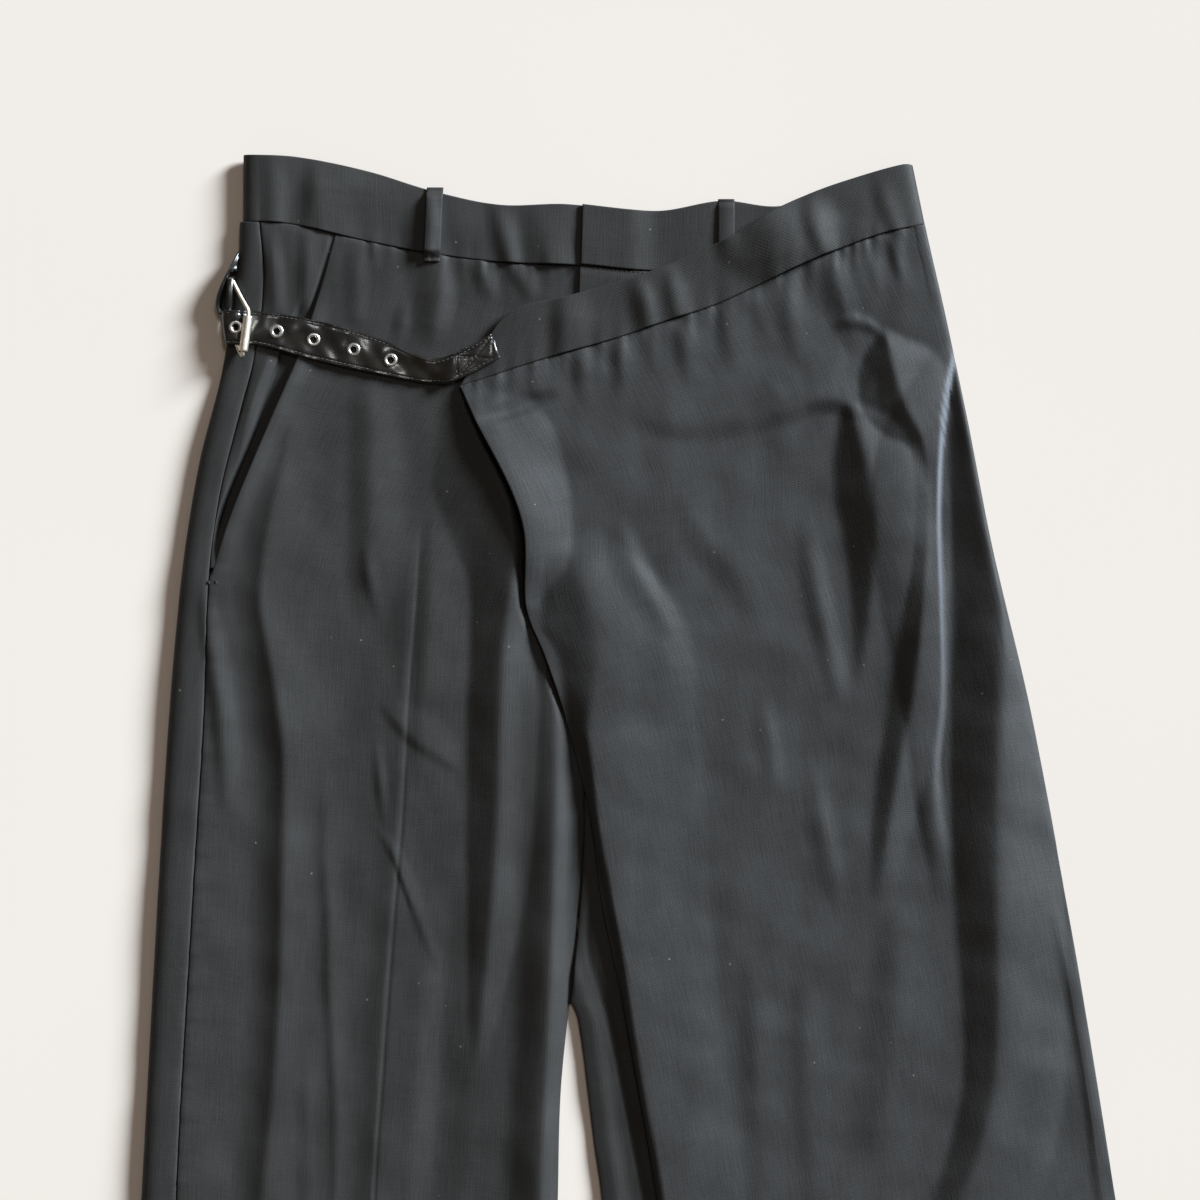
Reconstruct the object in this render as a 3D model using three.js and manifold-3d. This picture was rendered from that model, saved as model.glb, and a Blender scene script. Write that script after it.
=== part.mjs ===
// Wrap trousers, laid flat with the front up: trousers with a waistband, a fly and a slanted hip pocket,
// and a second front panel that crosses them from the wearer's left side and is strapped to the right hip.
// Millimetres. +X runs to the wearer's left, +Y to the waist, +Z up from the surface they lie on.
// The origin lies on that surface, under the middle of the outline.
import * as THREE from 'three';
import Module from 'manifold-3d';
import { mergeVertices } from 'three/addons/utils/BufferGeometryUtils.js';

const CLOTH = 1.2; // wall of the wool cloth
const BAND = 2.4; // waistband, folded double over its stiffening
const LEATHER = 2.2;
const SEAM = 0.3; // gap between two pieces at a seam
const HALF_LENGTH = 550;
const HIP_ROLL = 9; // width of the cloth's turn at the wearer's right side
const WRAP_ROLL = 7; // width of the turn at the wearer's left side
const WRAP_SEAM_HEIGHT = 4; // where wrap panel and back meet, at the side
const SIDE_GAP = 1.2; // between them there

// A smooth curve through named rows: the value of one column at a value of another.
function curve(rows, along, column) {
  const at = rows.map((row) => row[along]);
  const value = rows.map((row) => row[column]);
  const slope = value.map((_, i) => {
    const a = Math.max(i - 1, 0);
    const b = Math.min(i + 1, value.length - 1);
    return (value[b] - value[a]) / (at[b] - at[a]);
  });
  const rising = at[at.length - 1] > at[0];
  return (t) => {
    let i = 0;
    while (i < at.length - 2 && (rising ? t > at[i + 1] : t < at[i + 1])) i += 1;
    const span = at[i + 1] - at[i];
    const u = (t - at[i]) / span;
    if (u < 0) return value[i] + slope[i] * (t - at[i]);
    if (u > 1) return value[i + 1] + slope[i + 1] * (t - at[i + 1]);
    const u2 = u * u;
    const u3 = u2 * u;
    return (2 * u3 - 3 * u2 + 1) * value[i] + (u3 - 2 * u2 + u) * span * slope[i]
      + (3 * u2 - 2 * u3) * value[i + 1] + (u3 - u2) * span * slope[i + 1];
  };
}

const mix = (a, b, t) => a + (b - a) * t;

// 0 at from, 1 at to, with no kink between.
function rise(t, from, to) {
  const u = Math.min(Math.max((t - from) / (to - from), 0), 1);
  return u * u * (3 - 2 * u);
}

// Edges that run down the garment: x at each height y.
const edge = (rows) => curve(rows, 'y', 'x');

const HIP_SIDE = edge([
  { y: 548, x: -250.5 }, { y: 508, x: -254.7 }, { y: 488, x: -255.5 }, { y: 419, x: -265.5 },
  { y: 363, x: -279.3 }, { y: 298, x: -289.5 }, { y: 202, x: -298 }, { y: 50, x: -307 },
  { y: -79, x: -314 }, { y: -542, x: -340.5 },
]);
const SIDE_SEAM = edge([
  { y: 508, x: -242.7 }, { y: 473, x: -240.3 }, { y: 423, x: -247 }, { y: 351, x: -263 },
  { y: 297, x: -272 }, { y: 212, x: -276.3 }, { y: 113, x: -282.3 }, { y: -79, x: -293 },
  { y: -545, x: -310 },
]);
const POCKET_EDGE = edge([
  { y: 500, x: -197.7 }, { y: 472, x: -205.5 }, { y: 427, x: -220.5 }, { y: 386, x: -238 },
  { y: 331, x: -260.7 }, { y: 297, x: -271.7 },
]);
const INSEAM_RIGHT = edge([
  { y: 170, x: -47.5 }, { y: 110, x: -50.3 }, { y: 58, x: -55 }, { y: -12, x: -62 },
  { y: -79, x: -64 }, { y: -550, x: -77.7 },
]);
const INSEAM_LEFT = edge([
  { y: 41, x: -57 }, { y: 29, x: -52 }, { y: -46, x: -42.3 }, { y: -76, x: -38 }, { y: -550, x: 9.3 },
]);
const FREE_EDGE = edge([
  { y: 409, x: -122.7 }, { y: 388, x: -113 }, { y: 347, x: -92 }, { y: 320, x: -84 },
  { y: 276, x: -83 }, { y: 247, x: -71.7 }, { y: 207, x: -58.5 }, { y: 154, x: -45.3 },
  { y: 99, x: -37.5 }, { y: 41, x: -25.5 }, { y: -79, x: -4.5 }, { y: -542, x: 67.5 },
]);
const WRAP_SIDE = edge([
  { y: 540, x: 149.3 }, { y: 506, x: 156.3 }, { y: 450, x: 169 }, { y: 390, x: 181.5 },
  { y: 310, x: 197 }, { y: 213, x: 220 }, { y: 68, x: 247 }, { y: -79, x: 271 },
  { y: -504, x: 340.5 },
]);
// Where the wrap or its band covers the trousers' front, from the left, at each height.
const COVERED_FROM = edge([
  { y: 517, x: 68.7 }, { y: 501, x: 44.7 }, { y: 485, x: 9.3 }, { y: 471, x: -32 },
  { y: 462, x: -63 }, { y: 454, x: -92 }, { y: 439, x: -105.3 }, { y: 409, x: -124.5 },
]);

// Edges that run across: y at each x.
const across = (rows) => curve(rows, 'x', 'y');

const WAIST = across([
  { x: -252, y: 548 }, { x: -219, y: 546.3 }, { x: -177, y: 538 }, { x: -141, y: 527 },
  { x: -99, y: 518.3 }, { x: -60, y: 518.7 }, { x: -4.5, y: 514 }, { x: 35, y: 520 },
  { x: 70, y: 517 }, { x: 148, y: 536 },
]);
const WAIST_SEAM = across([
  { x: -256, y: 508 }, { x: -225, y: 506.5 }, { x: -177, y: 496 }, { x: -142, y: 489.5 },
  { x: -99, y: 484 }, { x: -52, y: 482 }, { x: -10, y: 478.3 }, { x: 30, y: 480 },
  { x: 70, y: 478 }, { x: 155, y: 500 },
]);
const HEM_RIGHT = across([{ x: -340.5, y: -541 }, { x: -77.7, y: -550 }]);
const HEM_LEFT = across([{ x: 9.3, y: -550 }, { x: 67.5, y: -541.5 }, { x: 340.5, y: -505 }]);

// A fold is a soft ridge along a path of three points, wider on one side than the other.
// left and right are its half-widths in mm as seen from above with the waist up.
const FRONT_FOLDS = [
  { name: 'beside the side seam', path: [[-280, 281], [-268, 227], [-259, 150]], left: 9, right: 15, height: 3 },
  { name: 'long fold of the thigh', path: [[-246, 262], [-227, 120], [-241, -90]], left: 15, right: 24, height: 5 },
  { name: 'its run to the hem', path: [[-241, -90], [-252, -300], [-266, -500]], left: 18, right: 28, height: 3 },
  { name: 'short fold below the pocket', path: [[-176, 405], [-176, 345], [-180, 270]], left: 13, right: 13, height: 3 },
  { name: 'pressed crease', path: [[-146, 330], [-162, 60], [-188, -540]], left: 14, right: 14, height: 1.6 },
  { name: 'fold beside the wrap', path: [[-95, 300], [-103, 150], [-116, 30]], left: 24, right: 11, height: 4.5 },
  { name: 'fold along the inner leg', path: [[-66, 160], [-70, 30], [-78, -100]], left: 20, right: 9, height: 2.6 },
  { name: 'its run down the leg', path: [[-78, -100], [-86, -300], [-94, -530]], left: 22, right: 11, height: 2 },
  { name: 'dart of fullness at the waist', path: [[-131, 476], [-133, 456], [-143, 436]], left: 13, right: 12, height: 2.5 },
];
const WRAP_FOLDS = [
  { name: 'roll of the free edge', path: [[-108, 380], [-82, 310], [-70, 250]], left: 30, right: 17, height: 4.5 },
  { name: 'free edge lower down', path: [[-60, 215], [-36, 90], [-6, -70]], left: 30, right: 30, height: 2.5 },
  { name: 'star fold, left arm', path: [[111, 396], [121, 345], [122, 265]], left: 17, right: 12, height: 5.5 },
  { name: 'star fold, right arm', path: [[133, 447], [144, 413], [156, 372]], left: 13, right: 10, height: 4.5 },
  { name: 'fold left of the long groove', path: [[155, 370], [154, 240], [138, 140]], left: 13, right: 13, height: 4.5 },
  { name: 'long fold of the left hip', path: [[180, 400], [195, 215], [201, 40]], left: 26, right: 17, height: 6 },
  { name: 'its run down the thigh', path: [[201, 40], [190, -50], [170, -140]], left: 24, right: 22, height: 5 },
  { name: 'fold beside the left side', path: [[236, 90], [252, 10], [268, -90]], left: 16, right: 10, height: 2.5 },
  { name: 'soft fold on the shin', path: [[120, 20], [132, -150], [160, -330]], left: 26, right: 30, height: 2.5 },
  { name: 'fold across the hip', path: [[-20, 395], [10, 392], [112, 396]], left: 12, right: 10, height: 2.5 },
  { name: 'gather 1', path: [[-24, 440], [-25, 425], [-26, 408]], left: 9, right: 9, height: 2.4 },
  { name: 'gather 2', path: [[10, 450], [15, 430], [18, 408]], left: 9, right: 9, height: 2.6 },
  { name: 'gather 3', path: [[36, 459], [43, 438], [50, 414]], left: 9, right: 9, height: 2.8 },
  { name: 'gather 4', path: [[74, 476], [82, 455], [92, 430]], left: 9, right: 9, height: 2.6 },
];

// The point of a path nearest to (x, y): signed distance to its right, and how far along it, 0 to 1.
function beside([a, b, c], x, y) {
  const legs = [[a, b, 0], [b, c, 0.5]];
  let best = null;
  for (const [p, q, start] of legs) {
    const dx = q[0] - p[0];
    const dy = q[1] - p[1];
    const length2 = dx * dx + dy * dy;
    const t = Math.min(Math.max(((x - p[0]) * dx + (y - p[1]) * dy) / length2, 0), 1);
    const ox = x - p[0] - t * dx;
    const oy = y - p[1] - t * dy;
    const distance = Math.hypot(ox, oy);
    const side = Math.sign(dx * oy - dy * ox) || 1;
    if (!best || distance < Math.abs(best.off)) best = { off: side * distance, along: start + t / 2 };
  }
  return best;
}

// Height that a table of folds adds at (x, y). Each fades out over both of its ends.
function foldHeight(folds, x, y) {
  let height = 0;
  for (const fold of folds) {
    const { off, along } = beside(fold.path, x, y);
    const width = off > 0 ? fold.right : fold.left;
    const fade = rise(along, 0, 0.2) * rise(1 - along, 0, 0.25);
    height += fold.height * fade * Math.exp(-((off / width) ** 2));
  }
  return height;
}

// Height of the hip's turn at each y, pressed flatter under the strap.
const rollHeight = (y) => 8.5 - 3 * Math.exp(-(((y - 445) / 38) ** 2)) - 1.2 * rise(y, 480, 540);
const frontFlat = (y) => 3.4 + 1.2 * rise(y, 440, 490);
const coveredFrom = (y) => (y > 409 ? COVERED_FROM(Math.min(y, 517)) : FREE_EDGE(y));

// Top face of the trousers' front, without and with its folds.
// Where the pocket's facing lies below the front, the front lies higher.
const overFacing = (x, y) => 1.1 * (1 - rise(x, -180, -120)) * rise(y, 260, 300);
function frontSmooth(x, y) {
  const inboard = x - HIP_SIDE(y);
  return mix(rollHeight(y), frontFlat(y) + overFacing(x, y), rise(inboard, HIP_ROLL, 75));
}
function frontTop(x, y) {
  const open = 1 - rise(x - coveredFrom(y), -9, -1);
  const strap = 1 - 0.75 * Math.exp(-(((y - strapMiddle(x)) / 18) ** 2));
  return frontSmooth(x, y) + foldHeight(FRONT_FOLDS, x, y) * open * (x < -105 || y < 400 ? strap : 1);
}

// Strap, from its tail at the hip to its end on the wrap's band: its edges at each x.
const STRAP_EDGES = [
  { x: -268, upper: 454.5, lower: 433.5 }, { x: -244.5, upper: 454, lower: 434 },
  { x: -210, upper: 449, lower: 425 }, { x: -171, upper: 437.7, lower: 416.5 },
  { x: -149, upper: 427.5, lower: 412.5 }, { x: -137, upper: 424.5, lower: 411.5 },
  { x: -126, upper: 428, lower: 412.3 }, { x: -101, upper: 440.5, lower: 426 },
];
const strapUpper = curve(STRAP_EDGES, 'x', 'upper');
const strapLower = curve(STRAP_EDGES, 'x', 'lower');
function strapMiddle(x) {
  const inside = Math.min(Math.max(x, -268), -101);
  return (strapUpper(inside) + strapLower(inside)) / 2;
}

const LAP_HEIGHT = 1.9; // the fly's lap stands this much over its under lap

// Top face of the wrap panel: over the front, higher beside its band and its free edge.
function wrapTop(x, y) {
  const below = bandFoot(x) - y;
  const overLap = LAP_HEIGHT * (1 - rise(x, 0, 30)) * rise(y, 205, 232);
  const base = frontFlat(y) + 2.1 + overLap;
  const atBand = mix(8.4, base, rise(below, 4, 55));
  const turned = mix(8.3, atBand, rise(WRAP_SIDE(y) - x, WRAP_ROLL, 60));
  const gathers = foldHeight(WRAP_FOLDS, x, y) * rise(below, 2, 20);
  return Math.max(turned, atBand) + gathers;
}

// Joins the outer face, the inner face at a cloth's thickness and the four edges of a grid of points.
// Rows run down the garment and columns across, so that the outer face's normal is row x column.
function wall(grid, thickness) {
  const rows = grid.length;
  const columns = grid[0].length;
  const inner = grid.map((line, r) => line.map((point, c) => {
    const down = grid[Math.min(r + 1, rows - 1)][c].clone().sub(grid[Math.max(r - 1, 0)][c]);
    const along = line[Math.min(c + 1, columns - 1)].clone().sub(line[Math.max(c - 1, 0)]);
    return point.clone().addScaledVector(down.cross(along).normalize(), -thickness);
  }));
  const positions = [...grid.flat(), ...inner.flat()].flatMap((p) => [p.x, p.y, p.z]);
  const outerAt = (r, c) => r * columns + c;
  const innerAt = (r, c) => rows * columns + outerAt(r, c);
  const index = [];
  const quad = (a, b, c, d) => index.push(a, b, c, a, c, d);
  for (let r = 0; r + 1 < rows; r += 1) {
    for (let c = 0; c + 1 < columns; c += 1) {
      quad(outerAt(r, c), outerAt(r + 1, c), outerAt(r + 1, c + 1), outerAt(r, c + 1));
      quad(innerAt(r, c), innerAt(r, c + 1), innerAt(r + 1, c + 1), innerAt(r + 1, c));
    }
  }
  for (let c = 0; c + 1 < columns; c += 1) {
    quad(outerAt(0, c), outerAt(0, c + 1), innerAt(0, c + 1), innerAt(0, c));
    quad(outerAt(rows - 1, c + 1), outerAt(rows - 1, c), innerAt(rows - 1, c), innerAt(rows - 1, c + 1));
  }
  for (let r = 0; r + 1 < rows; r += 1) {
    quad(outerAt(r + 1, 0), outerAt(r, 0), innerAt(r, 0), innerAt(r + 1, 0));
    quad(outerAt(r, columns - 1), outerAt(r + 1, columns - 1), innerAt(r + 1, columns - 1), innerAt(r, columns - 1));
  }
  const geometry = new THREE.BufferGeometry();
  geometry.setAttribute('position', new THREE.Float32BufferAttribute(positions, 3));
  geometry.setIndex(index);
  return geometry;
}

// Values from 0 to 1: more of them near 0 where crowd is over 1.
const steps = (count, crowd = 1) => Array.from({ length: count + 1 }, (_, i) => (i / count) ** crowd);

// Points of a section at the share v of the way from the top line to the hem. section(y) gives the x and z of
// each column at height y, and the height is worked out again at each x.
function sectionRow(v, section, top, hem) {
  const middle = mix(500, -HALF_LENGTH, v);
  return section(middle).map((_, column) => {
    let y = middle;
    let x = 0;
    let z = 0;
    for (let pass = 0; pass < 4; pass += 1) {
      [x, z] = section(y)[column];
      y = mix(top(x, z), hem(x), v);
    }
    return new THREE.Vector3(x, y, z);
  });
}

// A panel between two edges that run down it, from its top line to its hem: one top face over the layers below.
function panel({ left, right, top, hem, height, rows, columns, crowd = 1.35 }) {
  const middleTop = top((left(450) + right(450)) / 2);
  return steps(rows, crowd).map((v) => steps(columns).map((u) => {
    let y = mix(middleTop, -HALF_LENGTH, v);
    let x = 0;
    for (let pass = 0; pass < 4; pass += 1) {
      x = mix(left(y), right(y), u);
      y = mix(top(x), hem(x), v);
    }
    return new THREE.Vector3(x, y, height(x, y));
  }));
}

// Section of cloth that turns over at a side: points of a half or quarter ellipse from the floor up.
function turn(edgeX, inward, width, height, from, to, count) {
  return steps(count).map((t) => {
    const angle = mix(from, to, t);
    return [edgeX + inward * width * (1 - Math.cos(angle)), (height / 2) * (1 + Math.sin(angle))];
  });
}

// The fly's under lap runs on below the left front, and ends at the centre seam further down.
const underLap = (y) => mix(INSEAM_RIGHT(Math.min(y, 150)), -22, rise(y, 300, 345));
const frontRightLeftEdge = (y) => (y > 297 ? POCKET_EDGE(Math.min(y, 503)) : SIDE_SEAM(y)) + SEAM;
const flyEdge = (y) => (y > 300
  ? mix(-51.5, -49.5, rise(y, 460, 520))
  : (y > 41 ? INSEAM_RIGHT(Math.min(y, 150)) + 0.6 : INSEAM_LEFT(y)));
const seamBelowBand = (x) => WAIST_SEAM(x) - SEAM;

function lapHeight(x, y) {
  return LAP_HEIGHT * (1 - rise(x, -14, 4)) * rise(y, 232, 262);
}
const leftFrontTop = (x, y) => frontFlat(y) + lapHeight(x, y);

function frontRight() {
  return wall(panel({
    left: frontRightLeftEdge, right: underLap, top: seamBelowBand, hem: HEM_RIGHT,
    height: frontTop, rows: 28, columns: 20,
  }), CLOTH);
}

function frontLeft() {
  return wall(panel({
    left: flyEdge, right: (y) => WRAP_SIDE(y) - 11, top: seamBelowBand, hem: (x) => HEM_LEFT(x) + 1,
    height: leftFrontTop, rows: 18, columns: 11,
  }), CLOTH);
}

// The cloth that shows in the pocket's slanted opening, tucked below the front.
function hipFacing() {
  const foot = 300;
  return wall(steps(12).map((v) => steps(6).map((u) => {
    let y = mix(504, foot, v);
    let x = 0;
    for (let pass = 0; pass < 4; pass += 1) {
      const right = Math.min(POCKET_EDGE(y) + mix(16, 1, v), SIDE_SEAM(y) + 60);
      x = mix(SIDE_SEAM(y) + 2 * SEAM, right, u);
      y = mix(seamBelowBand(x), foot, v);
    }
    const tucked = rise(x - POCKET_EDGE(y), -12, -4);
    return new THREE.Vector3(x, y, frontSmooth(x, y) - mix(0.2, CLOTH + 0.7, tucked));
  })), CLOTH);
}

const UNDER_BAND = 1.4; // the back's top line lies this much below the front's, out of sight
const backTop = (x, z) => seamBelowBand(x) - UNDER_BAND * (1 - rise(z, 0, 3));

// Back of the right leg: flat on the surface, turned over at the hip side and up to the side seam.
function backRight() {
  const middle = (y) => (y > 41 ? -52.2 : INSEAM_RIGHT(y) - 1.5);
  const section = (y) => {
    const side = HIP_SIDE(y);
    const flat = steps(4).map((t) => [mix(middle(y), side + HIP_ROLL, t), 0]);
    const rolled = turn(side, 1, HIP_ROLL, rollHeight(y), -Math.PI / 2, Math.PI / 2, 6);
    const over = steps(2).map((t) => {
      const x = mix(side + HIP_ROLL, SIDE_SEAM(y), t);
      return [x, frontTop(x, y)];
    });
    return [...flat.slice(0, -1), ...rolled.slice(0, -1), ...over];
  };
  return wall(steps(22, 1.25).map((v) => sectionRow(v, section, backTop, HEM_RIGHT)), CLOTH);
}

// Back of the left leg: flat on the surface, its side turned up to meet the wrap panel.
function backLeft() {
  const middle = (y) => (y > 41 ? -51.8 : INSEAM_LEFT(y) + 1.5);
  const section = (y) => {
    const side = WRAP_SIDE(y);
    const turned = turn(side, -1, WRAP_ROLL, 2 * WRAP_SEAM_HEIGHT, 0, -Math.PI / 2, 4)
      .map(([x, z]) => [x, Math.min(z, WRAP_SEAM_HEIGHT - SIDE_GAP / 2)]);
    const flat = steps(5).map((t) => [mix(side - WRAP_ROLL, middle(y), t), 0]);
    return [...turned.slice(0, -1), ...flat];
  };
  const hem = (x) => HEM_LEFT(x) + 1;
  return wall(steps(20, 1.25).map((v) => sectionRow(v, section, (x) => seamBelowBand(x) - 2, hem)), CLOTH);
}

// The second front, from its free edge over to the left side, where it turns down to the back.
function wrapPanel() {
  const flatColumns = 23;
  return wall(steps(27, 1.3).map((v) => {
    const columns = [];
    for (let c = 0; c <= flatColumns + 3; c += 1) {
      let y = mix(450, -530, v);
      let x = 0;
      const down = Math.max(c - flatColumns, 0) / 3;
      for (let pass = 0; pass < 5; pass += 1) {
        const side = WRAP_SIDE(y);
        x = c <= flatColumns
          ? mix(FREE_EDGE(y), side - WRAP_ROLL, c / flatColumns)
          : side - WRAP_ROLL * (1 - Math.sin((down * Math.PI) / 2));
        y = mix(bandFoot(x) - SEAM, HEM_LEFT(x), v);
      }
      const high = wrapTop(Math.min(x, WRAP_SIDE(y) - WRAP_ROLL), y);
      const low = WRAP_SEAM_HEIGHT + SIDE_GAP / 2;
      const z = c <= flatColumns ? high : low + (high - low) * Math.cos((down * Math.PI) / 2);
      columns.push(new THREE.Vector3(x, y, z));
    }
    return columns;
  }), CLOTH);
}

// The wrap's band, from the strap over to the left side, then back underneath to the centre back.
const WRAP_BAND = [
  { headX: -105.3, headY: 438.9, footX: -122.5, footY: 409.6, z: 7.6 },
  { headX: -97, headY: 450, footX: -108, footY: 414, z: 7.9 },
  { headX: -84, headY: 458, footX: -92, footY: 419.5, z: 8.3 },
  { headX: -62.7, headY: 462.3, footX: -68, footY: 427, z: 8.9 },
  { headX: -32, headY: 470.7, footX: -31, footY: 437.5, z: 9.2 },
  { headX: -6.3, headY: 479, footX: 0, footY: 448, z: 9.2 },
  { headX: 20.7, headY: 490.5, footX: 30, footY: 458, z: 9.2 },
  { headX: 44.7, headY: 501.3, footX: 58, footY: 470.8, z: 9.2 },
  { headX: 66, headY: 515, footX: 84, footY: 483, z: 9.2 },
  { headX: 90.3, headY: 526, footX: 106, footY: 492, z: 9.2 },
  { headX: 120, headY: 536, footX: 131, footY: 501, z: 9.2 },
  { headX: 142, headY: 542, footX: 149, footY: 505, z: 8.6 },
  { headX: 147.8, headY: 542.3, footX: 155, footY: 506.3, z: 6.8 },
  { headX: 149.1, headY: 541.5, footX: 156.3, footY: 506.3, z: 4.3 },
  { headX: 147.8, headY: 540, footX: 155, footY: 506, z: 1.5 },
  { headX: 143, headY: 537, footX: 149, footY: 504, z: 0 },
  { headX: 110, headY: 523, footX: 114, footY: 489, z: 0 },
  { headX: 70, headY: 513, footX: 72, footY: 479, z: 0 },
  { headX: 10, headY: 510, footX: 10, footY: 478.5, z: 0 },
  { headX: -51.5, headY: 512, footX: -51.5, footY: 482, z: 0 },
];
const BAND_FOOT = across(WRAP_BAND.slice(0, 13).map(({ footX, footY }) => ({ x: footX, y: footY })));
function bandFoot(x) {
  return BAND_FOOT(Math.min(Math.max(x, -124), 156.3));
}

function wrapBand() {
  const rows = steps(4).map((v) => WRAP_BAND.map((row) => new THREE.Vector3(
    mix(row.headX, row.footX, v), mix(row.headY, row.footY, v), row.z,
  )));
  return wall(rows, BAND);
}

// Trouser waistband of the right half: from the centre back, round the hip, to under the fly's lap.
function waistbandRight() {
  const flyUnder = -22;
  return wall(steps(4).map((v) => {
    const side = mix(-250.5, -254.7, v);
    const flat = steps(5).map((t) => [mix(-52.2, side + HIP_ROLL, t), 0]);
    const rolled = turn(side, 1, HIP_ROLL, 7.6, -Math.PI / 2, Math.PI / 2, 6);
    const over = steps(18).map((t) => {
      const x = mix(side + HIP_ROLL, flyUnder, t);
      return [x, mix(7.6, 5.2, rise(x - side, HIP_ROLL, 70))];
    });
    return [...flat.slice(0, -1), ...rolled.slice(0, -1), ...over].map(([x, z]) => {
      const under = 1 - rise(z, 0, 4);
      return new THREE.Vector3(x, mix(WAIST(x) - 2 * under, WAIST_SEAM(x) + under, v), z);
    });
  }), BAND);
}

// Waistband of the left half, whose end laps over the right one at the fly.
function waistbandLeft() {
  const start = -49.2;
  return wall(steps(4).map((v) => steps(16).map((u) => {
    const x = mix(mix(start, -50.2, v), 138, u);
    const z = 5.5 + 2.6 * (1 - rise(x, -20, -4)) - 0.4 * rise(x, 10, 40);
    return new THREE.Vector3(x, mix(WAIST(x) + 0.6, WAIST_SEAM(x) + 0.6, v), z);
  })), BAND);
}

// A belt loop: a strip that stands over the band, turned down and sewn at both ends.
function beltLoop(x, topY, footY, base, leanX) {
  const loopWidth = 10;
  const profile = [
    { t: 0, lift: 0.4 }, { t: 0.06, lift: 2 }, { t: 0.3, lift: 2.6 }, { t: 0.7, lift: 2.6 },
    { t: 0.94, lift: 2 }, { t: 1, lift: 0.4 },
  ];
  return wall(profile.map(({ t, lift }) => steps(2).map((u) => new THREE.Vector3(
    x + leanX * t + loopWidth * (u - 0.5), mix(topY, footY, t), base + CLOTH + lift,
  ))), CLOTH);
}

// Height of the strap's underside: over the front, the buckle's lower arm and the band's end.
function strapUnderside(x) {
  const y = strapMiddle(x);
  const onFront = frontTop(x, y) + 0.8;
  const onArm = 9.5;
  const onBand = 8.6;
  const overArm = mix(onFront, onArm, 1 - rise(x, -256, -249.5));
  return mix(overArm, Math.max(onBand, onFront), rise(x, -140, -125));
}

const EYELET_X = [-256.6, -232.2, -210.3, -186.3, -164.1];
const EYELET = { flange: 4, socket: 2.8, barrel: 2.3, hole: 1.9, flangeHeight: 0.7 };

function strapShape() {
  const stations = steps(30).map((t) => mix(-262, -101, t));
  const tail = [[-266.2, 3.2], [-266.6, 6], [-265.6, 9.2]];
  const columns = [
    ...tail.map(([x, z]) => ({ x, z: z + 0, inside: x })),
    ...stations.map((x) => ({ x, z: strapUnderside(x) + LEATHER, inside: x })),
  ];
  return wall(steps(2).map((v) => columns.map(({ x, z, inside }) => {
    const slant = x > -130 ? mix(-3, 3, 1 - v) * rise(x, -130, -101) : 0;
    return new THREE.Vector3(x + slant, mix(strapUpper(inside), strapLower(inside), v), z);
  })), LEATHER);
}

// A closed ring turned about the vertical: an eyelet's barrel and flange.
function eyeletShape() {
  const { flange, barrel, hole, flangeHeight } = EYELET;
  const depth = LEATHER + SEAM;
  const profile = [
    [hole, -depth], [barrel, -depth], [barrel, SEAM], [flange, SEAM],
    [flange - 0.3, SEAM + flangeHeight * 0.7], [(flange + hole) / 2, SEAM + flangeHeight],
    [hole, SEAM + flangeHeight * 0.5], [hole, -depth],
  ].map(([r, z]) => new THREE.Vector2(r, z));
  return new THREE.LatheGeometry(profile, 14).rotateX(Math.PI / 2);
}

// Buckle: a four-sided wire frame with a roller over one side, tilted so that its far bar lies lower.
const WIRE = 1.3;
const ROLLER = { outer: 2.75, inner: 1.8 };
const BUCKLE = {
  rollerHead: [-248.6, 453.5, 12.6],
  rollerFoot: [-252.4, 427.2, 12.6],
  armLow: [-255, 430.6, 7.7],
  barFoot: [-261.6, 453.5, 7.5],
  barHead: [-260, 474.3, 7.2],
  armHigh: [-254.6, 464, 9.6],
};

function buckleFrame() {
  const corners = Object.values(BUCKLE).map((p) => new THREE.Vector3(...p));
  const rounded = corners.flatMap((corner, i) => {
    const next = corners[(i + 1) % corners.length];
    return [corner.clone().lerp(next, 0.1), corner.clone().lerp(next, 0.9)];
  });
  const path = new THREE.CatmullRomCurve3(rounded, true, 'centripetal');
  const count = 48;
  const sides = 8;
  const centre = corners.reduce((sum, p) => sum.add(p), new THREE.Vector3()).multiplyScalar(1 / corners.length);
  const positions = [];
  for (let i = 0; i < count; i += 1) {
    const point = path.getPointAt(i / count);
    const ahead = path.getTangentAt(i / count);
    const outward = point.clone().sub(centre);
    outward.addScaledVector(ahead, -outward.dot(ahead)).normalize();
    const up = ahead.clone().cross(outward);
    for (let s = 0; s < sides; s += 1) {
      const angle = (2 * Math.PI * s) / sides;
      const corner = point.clone()
        .addScaledVector(outward, WIRE * Math.cos(angle))
        .addScaledVector(up, WIRE * Math.sin(angle));
      positions.push(corner.x, corner.y, corner.z);
    }
  }
  const index = [];
  for (let i = 0; i < count; i += 1) {
    for (let s = 0; s < sides; s += 1) {
      const a = i * sides + s;
      const b = i * sides + ((s + 1) % sides);
      const c = ((i + 1) % count) * sides + s;
      const d = ((i + 1) % count) * sides + ((s + 1) % sides);
      index.push(a, b, c, b, d, c);
    }
  }
  const geometry = new THREE.BufferGeometry();
  geometry.setAttribute('position', new THREE.Float32BufferAttribute(positions, 3));
  geometry.setIndex(index);
  return geometry;
}

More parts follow.
